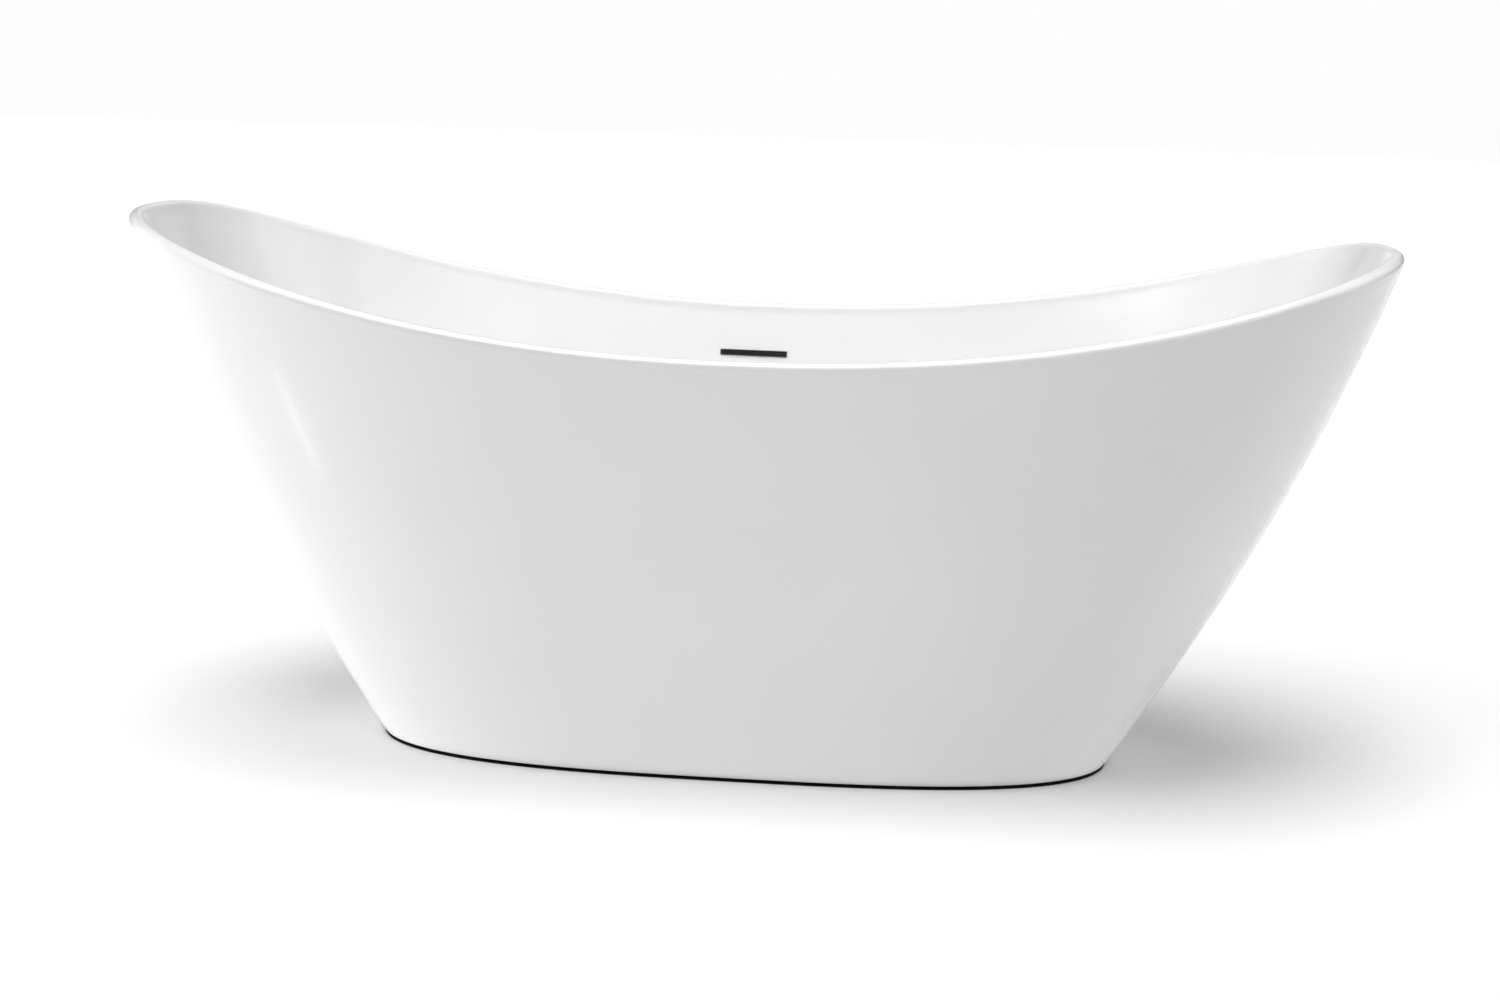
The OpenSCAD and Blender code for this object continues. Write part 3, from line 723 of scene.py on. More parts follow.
def strip_ring(section, x, inset, side):
    """A bent strip's section at one X, drawn in by the inset across its thickness."""
    ring = []
    for (y, z), (other_y, other_z) in zip(section, section[::-1]):
        gap = math.hypot(other_y - y, other_z - z)
        pull = inset / gap if gap > 0 else 0
        ring.append((x, side * mix(y, other_y, pull), mix(z, other_z, pull)))
    return ring


def build_brackets():
    """Each bracket is one bent strip, up the rail's face and out over the skirt's flange."""
    edge = 0.4 * MM
    for i in range(1, 5):
        node = f"skirt_bracket_{i}"
        low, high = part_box(node)
        side = math.copysign(1, high.y + low.y)
        inner, outer = sorted((abs(low.y), abs(high.y)))
        centre = (inner + BRACKET_BEND_R, low.z + BRACKET_BEND_R)
        face = [(inner, high.z), *bend(*centre, BRACKET_BEND_R), (outer, low.z)]
        back = [(inner + BRACKET_THICK, high.z), *bend(*centre, BRACKET_BEND_R - BRACKET_THICK)]
        back.append((outer, low.z + BRACKET_THICK))
        section = face + back[::-1]
        ends = ((low.x, edge), (low.x + edge, 0), (high.x - edge, 0), (high.x, edge))
        rings = [strip_ring(section, x, inset, side) for x, inset in ends]
        add_piece(f"{node}_strip", [loft(rings)], "zinc_steel", "root", node, sharp=50)


# ---------------------------------------------------------------- levelling feet

THREAD_PITCH = 1.75 * MM
THREAD_DEPTH = 0.9 * MM
STUD_R = 6 * MM
STUD_TIP_R = 5 * MM
STUD_HEX_R = 10 * MM
STUD_HEX_LOW = 10 * MM
STUD_HEX_HIGH = 17 * MM
PAD_TOP_R = 14 * MM
PAD_EDGE = 4 * MM
PAD_RIBS = 36
BUSH_R = 11 * MM
LOCK_NUT_R = 10.5 * MM


def foot_centre(node):
    low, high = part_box(node)
    return Matrix.Translation(((low.x + high.x) / 2, (low.y + high.y) / 2, 0))


def build_stud(i):
    node = f"foot_stud_{i}"
    low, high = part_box(node)
    chamfer = 0.8 * MM
    hex_side = hexagon(STUD_HEX_R)
    hex_end = hexagon(STUD_HEX_R - chamfer)
    profile = [
        (0, low.z), (STUD_TIP_R - chamfer, low.z),
        (STUD_TIP_R, low.z + chamfer), (STUD_TIP_R, STUD_HEX_LOW),
        (hex_end, STUD_HEX_LOW), (hex_side, STUD_HEX_LOW + chamfer),
        (hex_side, STUD_HEX_HIGH - chamfer), (hex_end, STUD_HEX_HIGH),
        (STUD_R - THREAD_DEPTH, STUD_HEX_HIGH),
    ]
    start = STUD_HEX_HIGH + 1 * MM
    steps = int((high.z - chamfer - start) / THREAD_PITCH * 6)
    for k in range(steps):
        height = start + k * THREAD_PITCH / 6
        profile.append((thread(STUD_R, THREAD_DEPTH, height, THREAD_PITCH), height))
    profile += [(STUD_R - THREAD_DEPTH, high.z), (0, high.z)]
    shape = turned(profile, 36, foot_centre(node))
    add_piece(f"{node}_threaded", [shape], "zinc_steel", f"stud_{i}", node, sharp=25)


def build_pad(i):
    """A rubber foot with grip ribs round its edge. Its blind hole stays clear of the turning stud."""
    node = f"foot_pad_{i}"
    low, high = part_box(node)
    radius = (high.x - low.x) / 2
    groove = 0.6 * MM

    def ribbed(angle):
        return radius - groove * (0.5 + 0.5 * math.cos(PAD_RIBS * angle)) ** 4

    bore = STUD_TIP_R + 0.05 * MM
    seat = PAD_EDGE - 0.1 * MM
    profile = [
        (0, 0.4 * MM), (radius * 0.45, 0.4 * MM), (radius * 0.5, 0), (radius - 1 * MM, 0),
        (radius - 0.3 * MM, 0.3 * MM), (ribbed, 0.9 * MM), (ribbed, PAD_EDGE - 0.6 * MM),
        (radius - 0.4 * MM, PAD_EDGE - 0.1 * MM), (radius - 1.4 * MM, PAD_EDGE + 0.2 * MM),
        (PAD_TOP_R + 1 * MM, high.z - 0.9 * MM), (PAD_TOP_R, high.z - 0.2 * MM),
        (PAD_TOP_R - 0.8 * MM, high.z), (bore + 0.6 * MM, high.z),
        (bore, high.z - 0.6 * MM), (bore, seat), (0, seat),
    ]
    add_piece(f"{node}_rubber", [turned(profile, 144, foot_centre(node))], "rubber", f"foot_{i}", node)


def lock_nut(bore, low, high, edge):
    """The profile of a hexagon nut with softened corners."""
    flat, end = hexagon(LOCK_NUT_R), hexagon(LOCK_NUT_R - edge)
    return [
        (bore, low + edge), (bore + edge, low), (end, low), (flat, low + edge),
        (flat, high - edge), (end, high), (bore + edge, high), (bore, high - edge),
    ]


def build_bushes_and_nuts():
    """The threaded bushes under the rails and the lock nuts below them."""
    bush_low, bush_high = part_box("foot_bushes")
    nut_low, nut_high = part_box("foot_lock_nuts")
    bore = STUD_R + 0.05 * MM
    edge = 0.7 * MM
    bush = eased(bore, BUSH_R, bush_low.z, bush_high.z, edge)
    nut = lock_nut(bore, nut_low.z, nut_high.z, edge)
    places = [foot_centre(f"foot_stud_{i}") for i in range(1, 5)]
    bushes = [turned(bush, 48, place) for place in places]
    nuts = [turned(nut, 48, place) for place in places]
    add_piece("foot_bush_set", bushes, "zinc_steel", "root", "foot_bushes", sharp=25)
    add_piece("foot_lock_nut_set", nuts, "zinc_steel", "root", "foot_lock_nuts", sharp=25)


# ---------------------------------------------------------------- waste and stopper

FLANGE_BORE_R = 19.5 * MM
FLANGE_TUBE_R = 23 * MM
FLANGE_THICK = 3 * MM
SPIDER_LOW = 112 * MM
SPIDER_HIGH = 116 * MM
SPIDER_ARM = 4 * MM
HUB_R = 12 * MM
CARTRIDGE_R = 8 * MM
FLANGE_PITCH = 2 * MM
FLANGE_THREAD = 0.8 * MM
FLANGE_GASKET_BORE = 23.5 * MM
SLIP_WASHER_BORE = 19.75 * MM


def build_flange():
    """The polished ring in the floor, its threaded tube and the arms that hold the stopper's guide."""
    low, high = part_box("drain_flange")
    flat = high.z - FLANGE_THICK
    profile = [
        (FLANGE_BORE_R, low.z), (FLANGE_BORE_R, high.z - 2 * MM),
        (FLANGE_BORE_R + 0.8 * MM, high.z - 0.9 * MM), (FLANGE_BORE_R + 2.2 * MM, high.z - 0.2 * MM),
        (FLANGE_BORE_R + 3.4 * MM, high.z), (high.x - 2.4 * MM, high.z),
        (high.x - 1.1 * MM, high.z - 0.4 * MM), (high.x - 0.3 * MM, high.z - 1.2 * MM),
        (high.x, high.z - 2.2 * MM), (high.x, flat), (FLANGE_TUBE_R, flat),
    ]
    steps = int((flat - 1 * MM - low.z) / FLANGE_PITCH * 6)
    for k in range(steps, 0, -1):
        height = low.z + k * FLANGE_PITCH / 6
        profile.append((thread(FLANGE_TUBE_R, FLANGE_THREAD, height, FLANGE_PITCH), height))
    profile.append((FLANGE_TUBE_R - 1 * MM, low.z))
    shapes = [turned(profile, 96)]
    shapes.append(turned(eased(CARTRIDGE_R, HUB_R, SPIDER_LOW, SPIDER_HIGH, 0.4 * MM), 64))
    for k in range(3):
        place = Matrix.Rotation(2 * math.pi * k / 3, 4, "Z")
        arm_low = (HUB_R - 1 * MM, -SPIDER_ARM / 2, SPIDER_LOW)
        arm_high = (FLANGE_BORE_R + 1 * MM, SPIDER_ARM / 2, SPIDER_HIGH)
        shapes.append(block(arm_low, arm_high, 0.6 * MM, place))
    add_piece("waste_ring", shapes, "chrome", "root", "drain_flange")


def build_gaskets():
    bores = {
        "drain_gasket_upper": FLANGE_GASKET_BORE,
        "drain_gasket_lower": FLANGE_GASKET_BORE,
        "slip_washer": SLIP_WASHER_BORE,
    }
    for node, bore in bores.items():
        low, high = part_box(node)
        ring = turned(eased(bore, high.x, low.z, high.z, (high.z - low.z) * 0.3), 96)
        add_piece(f"{node}_ring", [ring], "rubber", "root", node)


CAP_EDGE = 1.5 * MM
CAP_BOSS_R = 7 * MM
STEM_R = 4 * MM
STEM_BORE_R = STEM_R + 0.05 * MM
STEM_SHOULDER = 3 * MM
SEAL_BORE_R = 8 * MM
GUIDE_NECK = 8 * MM
GUIDE_COLLAR = 3 * MM
GUIDE_CAVITY_R = 6.5 * MM
GUIDE_BASE = 2 * MM
SPRING_WIRE_R = 0.7 * MM
SPRING_TURNS = 4
SPRING_STEPS = 32


def build_cap():
    """The domed cap, with a rolled edge and the socket for its stem."""
    low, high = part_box("stopper_cap")
    seal_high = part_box("stopper_seal")[1].z
    stem_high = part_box("stopper_stem")[1].z
    radius = high.x
    dome = high.z - seal_high - CAP_EDGE
    ball = (radius ** 2 + dome ** 2) / (2 * dome)
    profile = [(0, high.z)]
    for k in range(1, 22):
        reach = (radius - 0.8 * MM) * k / 21
        profile.append((reach, high.z - ball + math.sqrt(ball ** 2 - reach ** 2)))
    edge = seal_high + CAP_EDGE
    profile += [
        (radius - 0.25 * MM, edge - 0.15 * MM), (radius, edge - 0.6 * MM),
        (radius - 0.3 * MM, seal_high + 0.15 * MM), (radius - 0.9 * MM, seal_high),
        (CAP_BOSS_R, seal_high), (CAP_BOSS_R, low.z + 0.5 * MM), (CAP_BOSS_R - 0.5 * MM, low.z),
        (STEM_BORE_R, low.z), (STEM_BORE_R, stem_high), (0, stem_high),
    ]
    add_piece("stopper_dome", [turned(profile, 128)], "chrome", "stopper", "stopper_cap", sharp=30)


def build_seal():
    low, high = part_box("stopper_seal")
    lip = 0.4 * MM
    profile = [
        (SEAL_BORE_R, low.z + 0.2 * MM), (high.x - 3 * MM, low.z + lip), (high.x - 1 * MM, low.z),
        (high.x, low.z + lip), (high.x - lip, high.z), (SEAL_BORE_R, high.z),
    ]
    add_piece("stopper_seal_ring", [turned(profile, 96)], "rubber", "stopper", "stopper_seal")


def build_stem():
    """The plug's stem, with the shoulder that its spring pushes on."""
    low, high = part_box("stopper_stem")
    shoulder, edge = high.x, 0.4 * MM
    profile = [
        (0, low.z), (shoulder - edge, low.z), (shoulder, low.z + edge),
        (shoulder, low.z + (STEM_SHOULDER - edge)), (shoulder - edge, low.z + STEM_SHOULDER),
        (STEM_R, low.z + STEM_SHOULDER), (STEM_R, high.z - 0.5 * MM),
        (STEM_R - 0.5 * MM, high.z), (0, high.z),
    ]
    add_piece("stopper_rod", [turned(profile, 48)], "chrome", "stopper", "stopper_stem")


def build_guide():
    """The sleeve in the spider's hub that guides the stem, with its spring in the hollow below."""
    low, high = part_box("stopper_cartridge")
    neck = high.z - GUIDE_NECK
    collar_top = SPIDER_HIGH + GUIDE_COLLAR
    base = low.z + GUIDE_BASE
    edge = 0.6 * MM
    profile = [
        (0, low.z), (CARTRIDGE_R - edge, low.z), (CARTRIDGE_R, low.z + edge), (CARTRIDGE_R, SPIDER_HIGH),
        (hexagon(HUB_R), SPIDER_HIGH), (hexagon(HUB_R), collar_top), (CARTRIDGE_R, collar_top),
        (CARTRIDGE_R, high.z - edge), (CARTRIDGE_R - edge, high.z),
        (STEM_BORE_R, high.z), (STEM_BORE_R, neck),
        (GUIDE_CAVITY_R, neck), (GUIDE_CAVITY_R, base), (0, base),
    ]
    add_piece("stopper_guide", [turned(profile, 48)], "zinc_steel", "root", "stopper_cartridge", sharp=25)


def build_spring():
    low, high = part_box("stopper_spring")
    coil = high.x - SPRING_WIRE_R
    steps = SPRING_TURNS * SPRING_STEPS
    path = []
    for k in range(steps + 1):
        angle = 2 * math.pi * k / SPRING_STEPS
        rise = mix(low.z + SPRING_WIRE_R, high.z - SPRING_WIRE_R, k / steps)
        path.append(Vector((coil * math.cos(angle), coil * math.sin(angle), rise)))
    shape = loft(sweep(path, [SPRING_WIRE_R] * len(path), 10))
    add_piece("stopper_coil", [shape], "zinc_steel", "root", "stopper_spring")


SPIGOT_R = 25 * MM
HOSE_SPIGOT_R = 8.3 * MM
HOSE_R = 10.5 * MM
SPIGOT_WALL = 2 * MM
INLET_HEIGHT = 76 * MM
INLET_ROOT = 38 * MM
OUTLET_SOCKET_R = 20.3 * MM
FLANGE_SOCKET_R = 23.1 * MM
NUT_SOCKET_R = 25.1 * MM
BODY_R = 30 * MM
BODY_BORE_R = 19 * MM
BODY_COLLAR_R = 34 * MM
BODY_COLLAR = 8 * MM
SPIGOT_TOP = 60 * MM
SOCKET_TOP = 62 * MM
FLANGE_SEAT = 96 * MM
BODY_RIBS = 8
RIB_LENGTH = 12 * MM
RIB_HALF_THICK = 0.8 * MM


def build_waste_body():
    """The body's bore and socket, its hose inlet and the ribs under its collar."""
    low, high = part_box("drain_body")
    edge = 0.8 * MM
    shoulder = high.z - BODY_COLLAR
    profile = [
        (OUTLET_SOCKET_R, low.z), (SPIGOT_R - edge, low.z),
        (SPIGOT_R, low.z + edge), (SPIGOT_R, SPIGOT_TOP),
        (BODY_R - 3 * MM, SPIGOT_TOP + 0.2 * MM), (BODY_R, SPIGOT_TOP + 3 * MM), (BODY_R, high.z - 12 * MM),
        (BODY_COLLAR_R - edge, high.z - 8.6 * MM), (BODY_COLLAR_R, shoulder + edge),
        (BODY_COLLAR_R, high.z - edge), (BODY_COLLAR_R - edge, high.z),
        (FLANGE_SOCKET_R, high.z), (FLANGE_SOCKET_R, FLANGE_SEAT), (BODY_BORE_R, FLANGE_SEAT),
        (BODY_BORE_R, SOCKET_TOP), (OUTLET_SOCKET_R, SOCKET_TOP),
    ]
    shapes = [turned(profile, 96)]
    bore, root, reach = HOSE_SPIGOT_R - SPIGOT_WALL, BODY_R - 4 * MM, high.y
    inlet = [
        (bore, root), (HOSE_R, root), (HOSE_R, INLET_ROOT - edge), (HOSE_R - edge, INLET_ROOT),
        (HOSE_SPIGOT_R, INLET_ROOT), (HOSE_SPIGOT_R, reach - edge),
        (HOSE_SPIGOT_R - edge, reach), (bore, reach),
    ]
    shapes.append(turned(inlet, 48, inlet_place()))
    for k in range(BODY_RIBS):
        turn = Matrix.Rotation(math.pi / BODY_RIBS + 2 * math.pi * k / BODY_RIBS, 4, "Z")
        rib_low = (BODY_R - 1 * MM, -RIB_HALF_THICK, shoulder - RIB_LENGTH)
        rib_high = (BODY_COLLAR_R - 1.5 * MM, RIB_HALF_THICK, shoulder)
        shapes.append(block(rib_low, rib_high, 0.3 * MM, turn))
    add_piece("waste_body", shapes, "pipe_plastic", "root", "drain_body")


def inlet_place():
    """The waste body's hose inlet, with its axis along Z."""
    return Matrix.Translation((0, 0, INLET_HEIGHT)) @ Matrix.Rotation(-math.pi / 2, 4, "X")


NUT_HEX_R = 32 * MM
NUT_HEX_TALL = 10 * MM
NUT_GRIP_R = 29 * MM
NUT_GRIPS = 24
NUT_FLOOR = 2 * MM
OUTLET_NECK_R = 19.7 * MM
OUTLET_WALL = 1.8 * MM
OUTLET_SHOULDER = 38 * MM


def build_slip_nut():
    """A nut with six flats below and a round, grooved grip above."""
    low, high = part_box("slip_nut")
    chamfer = 1 * MM
    groove = 0.9 * MM
    flats, bevel = hexagon(NUT_HEX_R), hexagon(NUT_HEX_R - chamfer)
    hex_high = low.z + NUT_HEX_TALL
    floor = low.z + NUT_FLOOR

    def gripped(angle):
        return NUT_GRIP_R - groove * (0.5 + 0.5 * math.cos(NUT_GRIPS * angle)) ** 3

    profile = [
        (OUTLET_SOCKET_R, low.z), (bevel, low.z), (flats, low.z + chamfer), (flats, hex_high - chamfer),
        (bevel, hex_high), (gripped, hex_high),
        (gripped, high.z - chamfer), (NUT_GRIP_R - 1.9 * MM, high.z),
        (NUT_SOCKET_R, high.z), (NUT_SOCKET_R, floor), (OUTLET_SOCKET_R, floor),
    ]
    add_piece("waste_slip_nut", [turned(profile, 192)], "pipe_plastic", "root", "slip_nut", sharp=28)


def build_outlet():
    low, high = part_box("tailpiece")
    outer, bore = high.x, high.x - OUTLET_WALL
    edge = 0.5 * MM
    profile = [
        (bore, low.z + edge), (bore + edge, low.z), (outer - edge, low.z), (outer, low.z + edge),
        (outer, OUTLET_SHOULDER - 0.3 * MM), (OUTLET_NECK_R, OUTLET_SHOULDER),
        (OUTLET_NECK_R, high.z - edge), (OUTLET_NECK_R - edge, high.z), (bore, high.z),
    ]
    add_piece("waste_outlet_pipe", [turned(profile, 96)], "pipe_plastic", "root", "tailpiece")


# ---------------------------------------------------------------- overflow

BEZEL_FRONT = -2.2 * MM
BEZEL_BACK = 0.4 * MM
BOX_FRONT = BASIN_WALL * math.cos(OVERFLOW_TILT) + 2.4 * MM
BOX_HALF_LENGTH = TRIM_HALF_LENGTH + 6 * MM
BOX_DEEP = 19 * MM
BOX_LOW = -22 * MM
BOX_HIGH = 10 * MM
BOX_SPIGOT_LOW = -38 * MM
BOX_SPIGOT_OUT = BOX_FRONT + 10.5 * MM
BOX_WALL = 2 * MM
BOX_SLOT_HALF_TALL = 4 * MM
BOX_EDGE = 1.5 * MM
PINHOLE = (1 * MM, 0.6 * MM)
BEZEL_SIDE = 3.5 * MM
BEZEL_TALL = 2 * MM
SLEEVE_SIDE = 2.5 * MM
SLEEVE_TALL = 1.3 * MM
SLAT_HALF_THICK = 0.5 * MM
SLAT_BACK = 3 * MM


def upright(half_x, half_z, out, corner=0.35 * MM):
    """A rounded rectangle in the overflow's own frame, standing at one depth out from the wet face."""
    return [(x, out, z) for x, z, _ in rounded_rectangle(half_x, half_z, corner, 0, 4)]


def build_grille():
    """The bezel on the wall, its sleeve into the box, and two slats across the opening."""
    length, tall = TRIM_HALF_LENGTH, TRIM_HALF_TALL
    inner_length, inner_tall = length - BEZEL_SIDE, tall - BEZEL_TALL
    sleeve_length, sleeve_tall = length - SLEEVE_SIDE, tall - SLEEVE_TALL
    edge = 0.3 * MM
    rings = [
        upright(length, tall, BEZEL_BACK), upright(length, tall, BEZEL_FRONT + edge),
        upright(length - edge, tall - edge, BEZEL_FRONT),
        upright(inner_length + edge, inner_tall + edge, BEZEL_FRONT),
        upright(inner_length, inner_tall, BEZEL_FRONT + edge), upright(inner_length, inner_tall, BOX_FRONT),
        upright(sleeve_length, sleeve_tall, BOX_FRONT), upright(sleeve_length, sleeve_tall, BEZEL_BACK),
    ]
    shapes = [loft(rings, closed=True, place=OVERFLOW)]
    for level in (-1, 1):
        middle = level * inner_tall / 3
        low = (-inner_length - edge, BEZEL_FRONT + 0.2 * MM, middle - SLAT_HALF_THICK)
        high = (inner_length + edge, SLAT_BACK, middle + SLAT_HALF_THICK)
        shapes.append(block(low, high, 0.2 * MM, OVERFLOW))
    add_piece("overflow_grille", shapes, "black_plastic", "root", "overflow_trim")


def box_slot(out, middle):
    """The outline of the opening in the box's front."""
    outline = rounded_rectangle(SLOT_HALF_LENGTH, BOX_SLOT_HALF_TALL, 1 * MM, 0, 4)
    return [(x, out, z - middle) for x, z, _ in outline]


def box_shell():
    """One skin over the box's outside and inside. It passes through the slot and a pinhole in the back."""
    half, inner = BOX_HALF_LENGTH, BOX_HALF_LENGTH - BOX_WALL
    middle = (BOX_LOW + BOX_HIGH) / 2
    half_z = (BOX_HIGH - BOX_LOW) / 2
    inner_z = half_z - BOX_WALL
    back = BOX_FRONT + BOX_DEEP
    edge, corner = BOX_EDGE, 2 * MM
    rings = [
        box_slot(BOX_FRONT, middle), upright(half - edge, half_z - edge, BOX_FRONT, corner),
        upright(half, half_z, BOX_FRONT + edge, 3 * MM), upright(half, half_z, back - edge, 3 * MM),
        upright(half - edge, half_z - edge, back, corner), upright(*PINHOLE, back, 0.3 * MM),
        upright(*PINHOLE, back - BOX_WALL, 0.3 * MM), upright(inner, inner_z, back - BOX_WALL, corner),
        upright(inner, inner_z, BOX_FRONT + BOX_WALL, corner), box_slot(BOX_FRONT + BOX_WALL, middle),
    ]
    return loft(rings, closed=True, place=OVERFLOW @ Matrix.Translation((0, 0, middle)))


def box_spigot():
    low = BOX_SPIGOT_LOW
    bore = HOSE_SPIGOT_R - SPIGOT_WALL
    profile = [
        (bore, low), (HOSE_SPIGOT_R - 0.6 * MM, low), (HOSE_SPIGOT_R, low + 0.6 * MM),
        (HOSE_SPIGOT_R, BOX_LOW - 1 * MM), (HOSE_SPIGOT_R + 1 * MM, BOX_LOW),
        (HOSE_SPIGOT_R, BOX_LOW + 1 * MM), (bore, BOX_LOW + 1 * MM),
    ]
    return turned(profile, 48, OVERFLOW @ Matrix.Translation((0, BOX_SPIGOT_OUT, 0)))


def build_overflow_box():
    """The flat box behind the wall. Its front is open at the slot and its spigot points down."""
    shapes = [box_shell(), box_spigot()]
    add_piece("overflow_housing", shapes, "pipe_plastic", "root", "overflow_box")


def build_overflow_gasket():
    """The ring that fills the space between the basin's wall and the box's front."""
    half, tall = BOX_HALF_LENGTH - 1 * MM, 9 * MM
    slot_x, slot_z = SLOT_HALF_LENGTH + 0.2 * MM, TRIM_HALF_TALL
    wall = BASIN_WALL * math.cos(OVERFLOW_TILT)
    edge = 0.5 * MM
    rings = [
        upright(slot_x, slot_z, wall), upright(half - edge, tall - edge, wall, 2 * MM),
        upright(half, tall, wall + edge, 2 * MM), upright(half, tall, BOX_FRONT - edge, 2 * MM),
        upright(half - edge, tall - edge, BOX_FRONT, 2 * MM), upright(slot_x, slot_z, BOX_FRONT),
    ]
    shape = loft(rings, closed=True, place=OVERFLOW)
    add_piece("overflow_seal", [shape], "rubber", "root", "overflow_gasket")


HOSE_BORE_R = 8.8 * MM
HOSE_CUFF = 22 * MM
HOSE_PITCH = 4 * MM
HOSE_GROOVE = 1.1 * MM
HOSE_END_Y = 42 * MM
# Points on the hose's route between its two ends, in millimetres
HOSE_ROUTE = (
    (-29, 325, 400), (-27, 307, 340), (-23, 286, 280), (-18, 266, 220), (-12, 247, 165), (-7, 222, 118),
    (-3, 184, 87), (-1, 140, 77), (0, 100, 76), (0, 66, 76),
)


def hose_path():
    """The CAD hose's route as a fine smooth line, and the length along it."""
    top = [OVERFLOW @ Vector((0, BOX_SPIGOT_OUT, drop * MM)) for drop in (-24, -40, -54)]
    points = top + [Vector(point) * MM for point in HOSE_ROUTE] + [Vector((0, HOSE_END_Y, INLET_HEIGHT))]
    before = [2 * points[0] - points[1]] + points + [2 * points[-1] - points[-2]]
    path = []
    for p, q, r, s in zip(before, before[1:], before[2:], before[3:]):
        for k in range(24):
            t = k / 24
            square, cube = 2 * p - 5 * q + 4 * r - s, 3 * q - p - 3 * r + s
            path.append(0.5 * (2 * q + (r - p) * t + square * t ** 2 + cube * t ** 3))
    path.append(points[-1])
    steps = [(b - a).length for a, b in zip(path, path[1:])]
    return path, np.concatenate([[0], np.cumsum(steps)])


def build_hose():
    """A ribbed hose with a smooth cuff at each end."""
    path, length = hose_path()
    fine = np.arange(0, length[-1], HOSE_PITCH / 6)
    fine[-1] = length[-1]
    line = np.array([tuple(point) for point in path])
    even = np.stack([np.interp(fine, length, line[:, axis]) for axis in range(3)], axis=-1)
    from_end = np.minimum(fine, length[-1] - fine)
    ribbed = np.clip((from_end - HOSE_CUFF) / HOSE_PITCH, 0, 1)
    radii = HOSE_R - ribbed * HOSE_GROOVE * (0.5 + 0.5 * np.cos(2 * np.pi * fine / HOSE_PITCH))
    outer = sweep([Vector(point) for point in even], radii)
    middle = [Vector(point) for point in (*even[::6], even[-1])]
    inner = sweep(middle, [HOSE_BORE_R] * len(middle))
    add_piece("overflow_pipe", [loft(outer + inner[::-1], closed=True)], "rubber", "root", "overflow_hose")


CLAMP_WIDTH = 9 * MM
CLAMP_THICK = 1.2 * MM
CLAMP_UPPER_LOW = -37 * MM
CLAMP_LOWER_LOW = 48 * MM


def clamp_band(low, place):
    """A hose clamp's band with its rolled edges."""
    inner = HOSE_R + 0.2 * MM
    return turned(eased(inner, inner + CLAMP_THICK, low, low + CLAMP_WIDTH, 0.25 * MM), 64, place)


def build_clamps():
    upper = OVERFLOW @ Matrix.Translation((0, BOX_SPIGOT_OUT, 0))
    shapes = [clamp_band(CLAMP_UPPER_LOW, upper), clamp_band(CLAMP_LOWER_LOW, inlet_place())]
    add_piece("hose_clamp_set", shapes, "zinc_steel", "root", "hose_clamps")


# ---------------------------------------------------------------- materials, all from nodes


def give(piece, *materials):
    piece.data.materials.clear()
    for finish in materials:
        piece.data.materials.append(finish)


